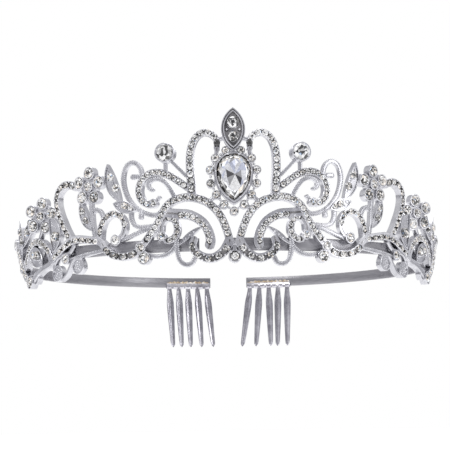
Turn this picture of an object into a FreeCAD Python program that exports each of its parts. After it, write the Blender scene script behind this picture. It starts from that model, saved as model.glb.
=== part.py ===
import FreeCAD, Part
import Sketcher
import math
import os

# Bridal tiara: a steel head band with cast filigree in front and a hair comb at each end. The band
# is open at the back, and is in two lengths that stop short of each other behind the filigree.
# Row frame: +Z up, the front faces -Y, the band ring is centred on Z, and Z = 0 is the middle of
# the band's height. The filigree is drawn unrolled: "across" runs along the front surface of the
# castings from the middle of the tiara, "height" runs up from the band, both in millimetres. Only
# the half on the +X side is drawn. It is rolled onto the cylinder and mirrored for the other half.

Vector = FreeCAD.Vector
document = FreeCAD.newDocument("tiara")
sheet = document.addObject("Spreadsheet::Sheet", "sizes")

SIZES = [
    ("band_inner_radius", 70.0, "inside of the head band"),
    ("band_thickness", 0.9, "sheet the band is cut from"),
    ("band_width", 3.9, "height of the band"),
    ("band_edge_round", 0.3, "rounding of the band's long edges"),
    ("hinge_angle", 82.0, "where the arms start to flex, from the front"),
    ("hinge_gap_angle", 0.25, "clearance between front band and arm"),
    ("left_end_angle", 177.1, "end of the left arm, from the front"),
    ("right_end_angle", 171.1, "end of the right arm, from the front"),
    ("left_strip_start", 8.5, "inner end of the left front strip, left of the middle"),
    ("right_strip_start", 1.2, "inner end of the right front strip, left of the middle"),
    ("casting_thickness", 1.7, "radial thickness of the cast scrolls"),
    ("wire_inset", 0.25, "milgrain wire set back from each casting face"),
    ("casting_lift", 0.3, "height of the drawn pattern over the band middle"),
    ("comb_thickness", 0.7, "stamped sheet of the combs"),
    ("comb_top", -0.3, "upper edge of the combs, above the middle of the band"),
    ("comb_base_height", 2.2, "solid strip above the comb teeth"),
    ("comb_length", 25.3, "top of the comb to the tips"),
    ("comb_tooth_pitch", 3.95, "spacing of the teeth"),
    ("solder_thickness", 0.55, "solder bead on top of the comb"),
    ("stone_clearance", 0.02, "gap under each stone"),
    ("pear_width", 10.0, "centre stone"),
    ("pear_length", 14.0, "centre stone"),
    ("collet_wall", 0.45, "wall of the stone settings"),
    ("collet_rise", 1.3, "settings stand in front of the castings"),
    ("end_flower_tilt", 27.0, "the end flowers are bent forwards"),
]


def fill_sheet():
    """Writes the driving dimensions into the spreadsheet and gives each cell its alias."""
    for row, (name, value, note) in enumerate(SIZES, start=1):
        sheet.set(f"A{row}", name)
        sheet.set(f"B{row}", str(value))
        sheet.set(f"C{row}", note)
        sheet.setAlias(f"B{row}", name)
    document.recompute()


fill_sheet()
BAND_OUTER = sheet.band_inner_radius + sheet.band_thickness
FRONT = BAND_OUTER + sheet.casting_thickness
WIRE_BACK = BAND_OUTER + sheet.wire_inset
WIRE_FRONT = FRONT - sheet.wire_inset
SETTING_FRONT = FRONT + sheet.collet_rise
FRONT_ANGLE = math.radians(270)
REAR_ANGLE = math.radians(90)
SMALLEST_ISLAND = 0.25
parts = []


# ---------------------------------------------------------------- unrolled drawing

def point(across, height):
    """A point of the unrolled drawing, lifted to its height over the band."""
    return Vector(across, height + sheet.casting_lift, 0)


def facing_up(face):
    """The same simple flat face on a plane whose axis is +Z, so that faces can be joined."""
    if face.Surface.Axis.z > 0 and face.Orientation == "Forward":
        return face
    return Part.Face(face.OuterWire.reversed())


def face_of(edges):
    return facing_up(Part.Face(Part.Wire(edges)))


def disc(across, height, radius):
    circle = Part.Circle(point(across, height), Vector(0, 0, 1), radius)
    return face_of([circle.toShape()])


def smooth_outline(points):
    """A closed smooth outline through the points."""
    curve = Part.BSplineCurve()
    curve.interpolate([point(*p) for p in points], PeriodicFlag=True)
    return face_of([curve.toShape()])


def pointed_leaf(tip, left, base, right):
    """A leaf with a sharp tip and a sharp base, one arc for each side."""
    left_side = Part.Arc(point(*base), point(*left), point(*tip))
    right_side = Part.Arc(point(*tip), point(*right), point(*base))
    return face_of([left_side.toShape(), right_side.toShape()])


class Rail:
    """A flat scroll: a smooth centre line, with a width that changes evenly from end to end. Its
    stones sit to one side of the centre line, aside."""

    def __init__(self, points, width, end_width=None, aside=0.0):
        self.line = Part.BSplineCurve()
        self.line.interpolate([point(*p) for p in points])
        self.width = width
        self.end_width = width if end_width is None else end_width
        self.aside = aside
        self.steps = 3 * (len(points) - 1)

    def place(self, share):
        """The point and the direction at a share of the centre line's parameter range."""
        first = self.line.FirstParameter
        last = self.line.LastParameter
        at = first + share * (last - first)
        return self.line.value(at), self.line.tangent(at)[0]

    def side(self, sign):
        shifted = []
        for step in range(self.steps + 1):
            share = step / self.steps
            spot, along = self.place(share)
            half = (self.width + share * (self.end_width - self.width)) / 2
            shifted.append(spot + Vector(-along.y, along.x, 0) * (sign * half))
        curve = Part.BSplineCurve()
        curve.interpolate(shifted)
        return curve, shifted[0], shifted[-1]

    def face(self):
        left, left_start, left_end = self.side(1)
        right, right_start, right_end = self.side(-1)
        start, start_along = self.place(0)
        end, end_along = self.place(1)
        start_tip = start - start_along * (self.width / 2)
        end_tip = end + end_along * (self.end_width / 2)
        end_cap = Part.Arc(left_end, end_tip, right_end)
        start_cap = Part.Arc(right_start, start_tip, left_start)
        return face_of([left.toShape(), end_cap.toShape(), right.toShape(), start_cap.toShape()])

    def seats(self, radius, gap=0.15, from_start=0.0, from_end=0.0):
        """Evenly spaced stone seats along the scroll."""
        total = self.line.length()
        run = total - from_start - from_end - 2 * radius
        count = max(1, int(run / (2 * radius + gap)) + 1)
        spacing = run / (count - 1) if count > 1 else 0
        found = []
        for index in range(count):
            distance = from_start + radius + index * spacing
            at = self.line.parameterAtDistance(distance, self.line.FirstParameter)
            along = self.line.tangent(at)[0]
            spot = self.line.value(at) + Vector(-along.y, along.x, 0) * self.aside
            found.append((spot.x, spot.y - sheet.casting_lift, radius))
        return found


def joined(faces):
    """The union of flat faces, as a list of flat faces."""
    if len(faces) == 1:
        return faces
    union = Part.makeCompound(faces[0].multiFuse(faces[1:]).Faces)
    union.sewShape()
    return union.removeSplitter().Faces


def without(faces, cutters):
    """The faces with the cutters' area taken away, and no small leftovers."""
    kept = []
    for face in faces:
        kept.extend(face.cut(cutters).Faces)
    return [face for face in kept if face.Area > SMALLEST_ISLAND]


# ---------------------------------------------------------------- rolling onto a cylinder

def rolled_wire(wire, surface, zero_angle):
    """The flat wire laid on a cylinder surface, at the same heights."""
    laid = []
    for edge in wire.OrderedEdges:
        curve = edge.Curve.toBSpline(*edge.ParameterRange)
        if curve.isPeriodic():
            curve.setNotPeriodic()
        poles = []
        for pole in curve.getPoles():
            poles.append(FreeCAD.Base.Vector2d(zero_angle + pole.x / FRONT, pole.y))
        flat = Part.Geom2d.BSplineCurve2d()
        flat.buildFromPolesMultsKnots(poles, curve.getMultiplicities(), curve.getKnots(), False,
                                      curve.Degree, curve.getWeights())
        laid.append(flat.toShape(surface))
    return Part.Wire(laid)


def rolled_solid(face, back_radius, front_radius, zero_angle=FRONT_ANGLE):
    """A flat face thickened between two radii, with radial side walls."""
    wires = [face.OuterWire] + [w for w in face.Wires if not w.isSame(face.OuterWire)]
    skins = []
    rims = []
    for radius in (back_radius, front_radius):
        surface = Part.Cylinder()
        surface.Radius = radius
        laid = [rolled_wire(wire, surface, zero_angle) for wire in wires]
        skin = Part.Face(surface, laid[0])
        skin.fix(1e-4, 1e-4, 1e-3)
        for hole in laid[1:]:
            skin.addWire(hole)
        if len(laid) > 1:
            skin.fix(1e-4, 1e-4, 1e-3)
        skins.append(skin)
        rims.append(laid)
    walls = []
    for back, front in zip(*rims):
        for back_edge, front_edge in zip(back.OrderedEdges, front.OrderedEdges):
            walls.append(Part.makeRuledSurface(back_edge, front_edge))
    shell = Part.makeShell(skins + walls)
    shell.sewShape()
    solid = Part.makeSolid(shell)
    if solid.Volume < 0:
        solid.reverse()
    middle = (back_radius + front_radius) / 2
    expected = face.Area * (front_radius - back_radius) * middle / FRONT
    if not solid.isValid() or abs(solid.Volume - expected) > 0.02 * expected:
        raise RuntimeError(f"a rolled face went wrong: {solid.Volume} for {expected}")
    return solid


def rolled(faces, back_radius=BAND_OUTER, front_radius=FRONT, zero_angle=FRONT_ANGLE):
    return [rolled_solid(face, back_radius, front_radius, zero_angle) for face in faces]


def mirrored_faces(faces):
    return [facing_up(face.mirror(Vector(0, 0, 0), Vector(1, 0, 0))) for face in faces]


def mirrored_solids(solids):
    return [solid.mirror(Vector(0, 0, 0), Vector(1, 0, 0)) for solid in solids]


def add_feature(label, solids):
    """A sub-part made from finished solids."""
    feature = document.addObject("Part::Feature", label)
    feature.Label = label
    feature.Shape = Part.makeCompound(solids)
    feature.Placement = FreeCAD.Placement()
    parts.append(feature)


def add_pair(name, solids):
    """A sub-part on the right and its mirror image on the left."""
    add_feature("right_" + name, solids)
    add_feature("left_" + name, mirrored_solids(solids))


# ---------------------------------------------------------------- scrolls, from the middle outwards

RAIL = 2.3
FINE_RAIL = 2.0
WIRE = 1.2
STEM = 1.0

petal = Rail([(12.6, 14.6), (12.7, 18.0), (13.0, 22.0), (13.0, 26.0), (12.5, 29.2), (11.2, 31.7),
              (9.2, 33.1), (7.3, 33.0), (5.7, 31.9), (4.9, 30.3), (4.9, 28.3)], 2.6, 1.8)
main_arc = Rail([(1.4, 0.0), (1.8, 2.0), (2.7, 4.8), (3.9, 7.6), (5.8, 10.2), (8.2, 12.2),
                 (11.2, 13.4), (14.3, 13.8), (17.4, 13.2), (19.8, 11.8), (21.5, 9.5),
                 (22.7, 6.9), (24.3, 4.5), (26.2, 2.0), (27.9, 0.0)], RAIL)
bottom_arc = Rail([(1.6, 0.3), (2.1, -0.7), (3.2, -2.4), (4.7, -3.7), (6.5, -4.5), (8.5, -4.4),
                   (10.5, -3.5), (12.0, -2.1), (12.4, -0.6), (12.0, 1.0)], 3.0, 2.2, -0.2)
inner_scroll = Rail([(19.6, 9.2), (16.6, 8.9), (13.7, 8.6), (11.2, 7.5), (9.2, 5.9), (8.0, 4.1),
                     (7.3, 2.3), (7.1, 0.6), (7.4, -0.6)], 2.9, 2.8, 0.35)
ring_scroll = Rail([(22.1, 4.2), (21.9, 6.0), (20.9, 7.4), (19.3, 7.8), (17.8, 7.0), (17.1, 5.2),
                    (17.1, 3.4), (17.9, 1.9), (19.3, 1.1), (20.6, 1.3)], FINE_RAIL)
upper_scroll = Rail([(13.5, 16.6), (15.0, 17.5), (18.0, 19.7), (21.0, 21.2), (24.0, 21.7),
                     (26.8, 20.8), (28.6, 18.6), (29.0, 16.0), (28.2, 13.7), (26.4, 12.3),
                     (24.6, 12.3)], 2.2)
RING_BALL = (21.9, 2.4, 1.45)
SCROLL_BALL = (24.3, 12.4, 1.35)
TALL_STONE = (20.5, 27.4, 3.05)
DROP_STONE = (0.0, -4.1, 1.9)
HALO_SEATS = [(2.2, 27.5), (5.4, 25.2), (6.9, 21.7), (6.8, 17.65), (5.2, 14.25), (3.0, 11.3)]
HALO_BOTTOM = (0.0, 9.3)
HALO_CUP = 1.35
HALO_STONE = 1.0
PEAR_MIDDLE = 19.4
MARQUISE_MIDDLE = 33.9
MARQUISE_REACH = 6.6
MARQUISE_HALF = 3.6
MARQUISE_STONES = [(0, 35.9, 1.7), (0, 31.7, 1.5)]


def centre_half():
    """Scrolls of the middle casting on the right of the centre line."""
    across, height, radius = TALL_STONE
    leaf = pointed_leaf((9.6, 5.0), (13.2, 3.6), (16.8, -0.6), (13.6, 1.4))
    upright = Rail([(across + 0.3, 21.9), (across + 0.3, height - radius + 0.3)], STEM)
    slanting = Rail([(14.4, 20.4), (19.3, 25.4)], STEM)
    links = [Rail([(4.9, 28.6), (5.1, 26.6), (5.3, 25.4)], 1.3),
             Rail([(3.2, 11.3), (5.4, 10.1)], STEM),
             Rail([(5.4, 14.1), (7.6, 12.2)], STEM),
             Rail([(4.6, 31.0), (3.0, 31.4)], STEM)]
    rails = [petal, main_arc, bottom_arc, inner_scroll, ring_scroll, upper_scroll]
    faces = [rail.face() for rail in rails + links + [upright, slanting]]
    return faces + [leaf, disc(*RING_BALL), disc(*SCROLL_BALL)]


def bottom_bridge():
    """The plate that joins both halves over the bottom stone."""
    return [Rail([(-2.0, -0.2), (2.0, -0.2)], 2.2).face(), Rail([(0, -0.8), (0, -3.2)], 1.8).face()]


heavy_loop = Rail([(42.9, 2.6), (42.7, 4.6), (42.2, 6.6), (41.0, 8.6), (39.2, 9.8), (37.2, 10.1),
                   (35.3, 9.2), (34.1, 7.5), (33.9, 5.5), (34.6, 3.6), (35.8, 2.6)], RAIL, 1.5)
low_arc = Rail([(41.6, 1.1), (40.9, -0.3), (39.6, -1.5), (37.5, -2.6), (34.5, -3.1),
                (31.5, -2.7), (29.2, -1.3)], RAIL)
wave = Rail([(64.4, -2.2), (62.3, -0.8), (60.0, 0.5), (57.5, 1.9), (54.8, 3.0), (51.8, 3.4),
             (48.8, 3.1), (45.8, 2.6), (43.2, 2.1), (41.6, 1.0)], 2.6, 2.4, 0.25)
side_loop = Rail([(52.4, 19.6), (53.9, 20.3), (55.8, 20.8), (58.0, 20.7), (60.2, 19.6),
                  (61.5, 17.5), (61.4, 14.8), (60.3, 11.8), (58.7, 9.0), (57.0, 6.3),
                  (55.0, 3.6)], 2.4)
FLOWER_STEM = Rail([(46.8, 16.0), (46.2, 11.0), (45.9, 8.0), (45.4, 5.5), (44.9, 3.4)], 1.3)
LOOP_BALL = (36.9, 2.0, 1.75)
CLUSTER_BALL = (28.6, -0.7, 1.7)
LOW_DROP = (27.4, -3.9, 2.0)
CURL_DISC = (51.6, -4.9, 2.5)
OUTER_CURL_DISC = (61.2, -6.5, 2.6)
CURL_BALL = (56.8, -2.3, 1.7)
FLOWER = (46.9, 19.2)
FLOWER_TURN = 93.0
END_FLOWER = (70.7, 12.4)
END_FLOWER_TURN = 98.0
FLOWER_RADIUS = 4.1
PETAL_RADIUS = 2.05
LEAF_STONES = [(38.9, 21.4, 1.15), (37.0, 17.9, 1.15), (49.8, 11.9, 1.05), (48.6, 9.0, 1.0),
               (34.0, 12.3, 1.0), (31.9, 11.5, 0.8)]


def petal_discs(centre, turn):
    """Places of the five petals around a flower's heart."""
    found = []
    for index in range(5):
        angle = math.radians(turn + 72 * index)
        across = centre[0] + FLOWER_RADIUS * math.cos(angle)
        height = centre[1] + FLOWER_RADIUS * math.sin(angle)
        found.append((across, height, PETAL_RADIUS))
    return found


def flower_faces(centre, turn):
    petals = [disc(*place) for place in petal_discs(centre, turn)]
    return petals + [disc(centre[0], centre[1], FLOWER_RADIUS - PETAL_RADIUS / 2)]


def side_half():
    """Scrolls, leaves and curls between the middle casting and the end spray."""
    leaves = [pointed_leaf((40.1, 25.6), (41.0, 20.4), (35.2, 13.4), (37.6, 21.2)),
              pointed_leaf((50.6, 15.4), (51.0, 10.4), (45.6, 5.4), (48.0, 11.2)),
              pointed_leaf((38.0, 13.3), (34.3, 13.9), (30.2, 10.6), (34.6, 10.2))]
    ribbons = [Rail([(49.6, -5.6), (50.6, -2.9), (53.6, -2.6), (55.6, -5.0), (57.2, -7.3),
                     (59.6, -8.4)], STEM, 1.4),
               Rail([(63.4, -5.4), (63.2, -3.4), (61.4, -1.6), (58.6, -1.0), (55.8, -0.5),
                     (53.8, 1.6)], 1.6)]
    balls = [disc(*LOOP_BALL), disc(*CLUSTER_BALL), disc(*LOW_DROP), disc(*CURL_DISC),
             disc(*OUTER_CURL_DISC), disc(*CURL_BALL)]
    rails = [heavy_loop, low_arc, wave, side_loop, FLOWER_STEM] + ribbons
    return [rail.face() for rail in rails] + leaves + balls


end_arch = Rail([(64.6, -1.8), (66.2, 0.9), (69.0, 3.2), (72.4, 4.5), (76.0, 4.4), (79.2, 2.8),
                 (81.4, 0.2), (82.2, -2.8)], RAIL)
end_scroll = Rail([(77.2, -7.6), (79.8, -7.3), (82.6, -5.8), (85.8, -3.0), (88.8, 0.2),
                   (91.6, 3.2), (94.4, 5.6)], 2.7)
end_foot = Rail([(63.6, -2.6), (66.6, -3.6), (70.0, -4.4), (73.4, -5.8), (76.8, -7.8)], RAIL)
END_BALL = (95.2, 5.8, 1.9)
END_DROP = (78.0, -8.0, 2.2)
CUP_BALL = (62.6, 5.2, 1.5)
END_STONES = [(89.4, 9.6, 1.3), (87.4, 6.2, 1.2), (82.4, 8.6, 1.2), (79.4, 11.4, 1.1),
              (73.6, 0.4, 1.3), (76.6, 0.6, 1.2)]


def end_half():
    """The spray at the end of the filigree, which closes towards the head band."""
    leaves = [pointed_leaf((66.4, 11.4), (65.2, 4.6), (64.0, 0.2), (59.8, 6.0)),
              pointed_leaf((90.6, 13.6), (92.2, 7.0), (87.6, -2.6), (86.8, 7.0)),
              pointed_leaf((74.0, 12.6), (81.2, 11.4), (87.8, 3.4), (79.4, 6.8)),
              pointed_leaf((69.6, -3.4), (72.2, 2.0), (80.2, 1.2), (76.2, -2.8))]
    stem = Rail([(70.4, 9.6), (71.6, 7.0), (73.4, 4.4)], 1.4)
    heel = disc(74.4, -7.0, 2.0)
    rails = [end_arch, end_scroll, end_foot, stem]
    return [rail.face() for rail in rails] + leaves + [disc(*END_BALL), disc(*END_DROP), heel]


hook_wire = Rail([(28.2, 20.6), (28.4, 22.0), (28.9, 23.6), (30.2, 25.0), (31.8, 25.3),
                  (33.5, 24.3), (34.4, 22.3), (34.6, 20.0), (34.0, 17.0), (32.8, 14.4),
                  (30.9, 12.1), (28.5, 10.3), (26.0, 9.2), (23.8, 8.9), (22.4, 9.6)], WIRE + 0.1)
curl_wire = Rail([(17.9, 14.0), (19.3, 16.6), (21.2, 18.9), (23.3, 19.8), (25.2, 19.5),
                  (26.2, 18.4), (25.9, 17.1), (24.9, 16.6)], WIRE)
HOOK_END = Rail([(29.6, 20.9), (31.4, 20.9)], WIRE, 1.5)
HOOK_KNOB = Rail([(28.6, 10.2), (28.7, 8.4)], STEM, 1.3)
SCROLL_TAIL = Rail([(24.0, 12.6), (22.6, 14.2)], STEM)
upper_vine = Rail([(31.9, 11.0), (31.9, 8.4), (30.9, 6.4), (29.2, 5.6), (27.0, 5.5), (24.4, 5.7)],
                  WIRE)
lower_vine = Rail([(35.0, 2.1), (32.5, 2.8), (29.8, 3.8), (27.2, 4.7), (25.0, 4.9)], WIRE)
small_loop = Rail([(45.8, 11.2), (44.5, 12.0), (43.1, 11.3), (42.1, 9.8), (41.6, 8.4)], WIRE)
u_loop = Rail([(17.3, 1.0), (17.2, -2.6), (16.4, -5.0), (14.7, -6.3), (12.9, -6.0), (11.9, -4.4)],
              WIRE + 0.1)
low_wire = Rail([(27.4, -2.4), (24.6, -3.4), (22.0, -3.5), (19.8, -2.7), (18.1, -1.2),
                 (17.3, 0.4)], WIRE)
side_wire = Rail([(55.0, -2.8), (52.0, -2.1), (48.0, -1.5), (44.5, -1.1), (41.0, -0.6)], WIRE)


def marquise_outline(inset=0.0):
    """The pointed oval at the top, drawn in by an inset."""
    reach = MARQUISE_REACH - 1.4 * inset
    half = MARQUISE_HALF - inset
    tip = (0, MARQUISE_MIDDLE + reach)
    base = (0, MARQUISE_MIDDLE - reach)
    return pointed_leaf(tip, (half, MARQUISE_MIDDLE), base, (-half, MARQUISE_MIDDLE))


def pear_outline(margin):
    """The centre stone's outline, drawn out by a margin."""
    half = sheet.pear_width / 2 + margin
    top = PEAR_MIDDLE + sheet.pear_length / 2 + margin
    low = PEAR_MIDDLE - sheet.pear_length / 2 - 1.2 * margin
    shoulder = top - half
    crown = Part.Arc(point(half, shoulder), point(0, top), point(-half, shoulder))
    flank = 0.66 * half
    waist = low + 0.34 * (shoulder - low)
    left = Part.Arc(point(-half, shoulder), point(-flank, waist), point(0, low))
    right = Part.Arc(point(0, low), point(flank, waist), point(half, shoulder))
    return face_of([crown.toShape(), left.toShape(), right.toShape()])


# ---------------------------------------------------------------- stones and their settings

def stone_frame(across, height, front_radius):
    """The placement of a stone on the front: its own +Z points outwards from the ring."""
    angle = across / FRONT
    outward = Vector(math.sin(angle), -math.cos(angle), 0)
    spot = outward * front_radius + Vector(0, 0, height + sheet.casting_lift)
    return FreeCAD.Placement(spot, FreeCAD.Rotation(Vector(0, 0, 1), outward))


def round_stone(radius):
    """A flat-backed round stone: a straight girdle, a sloping crown and a flat table."""
    girdle = 0.3 * radius
    crown = 0.75 * radius
    table = 0.6 * radius
    outline = [Vector(0, 0, 0), Vector(radius, 0, 0), Vector(radius, 0, girdle),
               Vector(table, 0, crown), Vector(0, 0, crown), Vector(0, 0, 0)]
    return Part.Face(Part.makePolygon(outline)).revolve(Vector(0, 0, 0), Vector(0, 0, 1), 360)


def placed_stones(seats, front_radius=FRONT):
    solids = []
    for across, height, radius in seats:
        place = stone_frame(across, height, front_radius + sheet.stone_clearance)
        solids.append(round_stone(radius).transformed(place.toMatrix()))
    return solids


def cup(across, height, radius):
    """A round setting: a floor with a wall around the stone."""
    floor = rolled([disc(across, height, radius)], BAND_OUTER, FRONT)
    ring = disc(across, height, radius).cut(disc(across, height, radius - sheet.collet_wall))
    wall = rolled(ring.Faces, FRONT, SETTING_FRONT)
    return floor[0].fuse(wall[0]).removeSplitter().Solids


def bent_forwards(solids):
    """The end flower's solids, turned about the upright line through the flower's middle."""
    pivot = stone_frame(END_FLOWER[0], 0, FRONT).Base
    return [solid.rotated(pivot, Vector(0, 0, 1), -sheet.end_flower_tilt) for solid in solids]


def pear_stone():
    """The centre stone: a pear-shaped girdle, a sloping crown and a flat table."""
    outline = pear_outline(-0.1).OuterWire.discretize(Number=25)[:-1]
    middle = PEAR_MIDDLE + sheet.casting_lift + 0.8

    def ring(scale, level):
        spots = [Vector(p.x * scale, -level, (p.y - middle) * scale + middle) for p in outline]
        return Part.makePolygon(spots + [spots[0]])

    back = FRONT + 0.1
    girdle = back + 0.9
    table = back + 2.9
    lower = Part.makeLoft([ring(1, back), ring(1, girdle)], True, True)
    crown = Part.makeLoft([ring(1, girdle), ring(0.58, table)], True, True)
    return lower.fuse(crown).removeSplitter().Solids


def collet(outer, inner):
    """A setting with a floor level with the castings and a wall in front of it."""
    floor = rolled([outer], BAND_OUTER, FRONT)
    wall = rolled(outer.cut(inner).Faces, FRONT, SETTING_FRONT)
    return floor[0].fuse(wall[0]).removeSplitter().Solids


# ---------------------------------------------------------------- head band and combs

def band_section(label, start_angle, sweep_angle):
    """A length of the head band: its cross-section turned about Z by an angle from the sheet."""
    body = document.addObject("PartDesign::Body", label)
    body.Label = label
    sketch = body.newObject("Sketcher::SketchObject", label + "_section")
    for item in body.Origin.OriginFeatures:
        if item.Role == "XZ_Plane":
            sketch.AttachmentSupport = (item, "")
        if item.Role == "Z_Axis":
            axis = item
    sketch.MapMode = "FlatFace"
    inner = sheet.band_inner_radius
    outer = inner + sheet.band_thickness
    half = sheet.band_width / 2
    corners = [Vector(inner, -half, 0), Vector(outer, -half, 0), Vector(outer, half, 0),
               Vector(inner, half, 0)]
    for index in range(4):
        sketch.addGeometry(Part.LineSegment(corners[index], corners[(index + 1) % 4]), False)
    for index in range(4):
        sketch.addConstraint(Sketcher.Constraint("Coincident", index, 2, (index + 1) % 4, 1))
    sketch.addConstraint(Sketcher.Constraint("Horizontal", 0))
    sketch.addConstraint(Sketcher.Constraint("Vertical", 1))
    sketch.addConstraint(Sketcher.Constraint("Horizontal", 2))
    sketch.addConstraint(Sketcher.Constraint("Vertical", 3))
    named = [("DistanceX", (-1, 1, 0, 1), inner, "inner_radius", "sizes.band_inner_radius"),
             ("DistanceX", (0, 1, 0, 2), outer - inner, "thickness", "sizes.band_thickness"),
             ("DistanceY", (1, 1, 1, 2), 2 * half, "width", "sizes.band_width"),
             ("DistanceY", (-1, 1, 1, 2), half, "upper_edge", "sizes.band_width / 2")]
    for kind, places, value, name, formula in named:
        index = sketch.addConstraint(Sketcher.Constraint(kind, *places, value))
        sketch.renameConstraint(index, name)
        sketch.setExpression("Constraints." + name, formula)
    turn = body.newObject("PartDesign::Revolution", label + "_bend")
    turn.Profile = sketch
    turn.ReferenceAxis = (axis, [""])
    turn.setExpression("Angle", sweep_angle)
    document.recompute()
    edges = [f"Edge{n}" for n, edge in enumerate(turn.Shape.Edges, start=1)
             if edge.Curve.TypeId == "Part::GeomCircle" and edge.Length > 4 * sheet.band_width]
    rounding = body.newObject("PartDesign::Fillet", label + "_edges")
    rounding.Base = (turn, edges)
    rounding.setExpression("Radius", "sizes.band_edge_round")
    body.Placement = FreeCAD.Placement(Vector(0, 0, 0), FreeCAD.Rotation(Vector(0, 0, 1), 0))
    body.setExpression("Placement.Rotation.Angle", start_angle)
    parts.append(body)


def add_band():
    """Two front strips and both arms, with a small clearance where the arms flex."""
    gap = "sizes.hinge_gap_angle"
    band_section("left_front_band", "270 - sizes.hinge_angle",
                 "sizes.hinge_angle - sizes.left_strip_start")
    band_section("right_front_band", "270 - sizes.right_strip_start",
                 "sizes.hinge_angle + sizes.right_strip_start")
    band_section("right_band_arm", f"-90 + sizes.hinge_angle + {gap}",
                 f"sizes.right_end_angle - sizes.hinge_angle - {gap}")
    band_section("left_band_arm", "270 - sizes.left_end_angle",
                 f"sizes.left_end_angle - sizes.hinge_angle - {gap}")


COMB_WIDTH = 18.4
TOOTH_NECK = 1.7
TOOTH_BELLY = 2.9
TOOTH_TIP = 1.3
COMB_INSET = 0.3
LEFT_LEANS = [-2.5, -1.6, -1.0, -1.1, -1.4]
RIGHT_LEANS = [0.3, 0.6, -0.5, 1.8, 3.6]
SOLDER_HEIGHT = 0.55
SOLDER_SWELL = 0.25
SOLDER_INSET = 0.2
SOLDER_LUMPS = 7


def comb_faces(middle, leans):
    """A stamped comb: a base strip and five leaf-shaped teeth, each bent a little to one side."""
    half = COMB_WIDTH / 2
    top = sheet.comb_top - sheet.casting_lift
    base_low = top - sheet.comb_base_height
    tips = top - sheet.comb_length
    corners = [point(middle - half, base_low), point(middle + half, base_low),
               point(middle + half, top), point(middle - half, top)]
    faces = [facing_up(Part.Face(Part.makePolygon(corners + [corners[0]])))]
    for index, lean in enumerate(leans):
        root = middle + (index - 2) * sheet.comb_tooth_pitch
        belly = root + 0.45 * lean
        tip = root + lean
        neck = base_low + 0.6
        shoulder = base_low - 5.5
        waist = base_low - 13.0
        left = Part.BSplineCurve()
        left.interpolate([point(root - TOOTH_NECK / 2, neck),
                          point(belly - TOOTH_BELLY / 2, shoulder),
                          point(belly + 0.25 * lean - TOOTH_BELLY / 2.4, waist),
                          point(tip - TOOTH_TIP / 2, tips + TOOTH_TIP / 2)])
        right = Part.BSplineCurve()
        right.interpolate([point(tip + TOOTH_TIP / 2, tips + TOOTH_TIP / 2),
                           point(belly + 0.25 * lean + TOOTH_BELLY / 2.4, waist),
                           point(belly + TOOTH_BELLY / 2, shoulder),
                           point(root + TOOTH_NECK / 2, neck)])
        bottom = Part.Arc(point(tip - TOOTH_TIP / 2, tips + TOOTH_TIP / 2), point(tip, tips),
                          point(tip + TOOTH_TIP / 2, tips + TOOTH_TIP / 2))
        crest = Part.LineSegment(point(root + TOOTH_NECK / 2, neck),
                                 point(root - TOOTH_NECK / 2, neck))
        faces.append(face_of([left.toShape(), bottom.toShape(), right.toShape(), crest.toShape()]))
    return joined(faces)


def add_comb(side, end_angle, sign, leans):
    """One comb on the inside of an arm's end, and the solder bead along its upper edge."""
    inner = sheet.band_inner_radius
    back = inner - sheet.comb_thickness
    edge_from_rear = math.radians(180 - end_angle) * FRONT
    middle = sign * (edge_from_rear + COMB_WIDTH / 2 + COMB_INSET)
    add_feature(side + "_comb", rolled(comb_faces(middle, leans), back, inner, REAR_ANGLE))
    level = sheet.comb_top - sheet.casting_lift
    half = COMB_WIDTH / 2 - SOLDER_INSET
    lower = [point(middle - half, level), point(middle + half, level)]
    crests = [level + SOLDER_HEIGHT + SOLDER_SWELL * math.cos(2.3 * lump)
              for lump in range(SOLDER_LUMPS + 1)]
    upper = Part.BSplineCurve()
    upper.interpolate([point(middle + half - 2 * half * lump / SOLDER_LUMPS, crest)
                       for lump, crest in enumerate(crests)])
    start = upper.value(upper.FirstParameter)
    end = upper.value(upper.LastParameter)
    bead = face_of([Part.LineSegment(*lower).toShape(), Part.LineSegment(lower[1], start).toShape(),
                    upper.toShape(), Part.LineSegment(end, lower[0]).toShape()])
    solder_back = inner - sheet.solder_thickness
    add_feature(side + "_comb_solder", rolled([bead], solder_back, inner, REAR_ANGLE))


# ---------------------------------------------------------------- assembly

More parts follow.
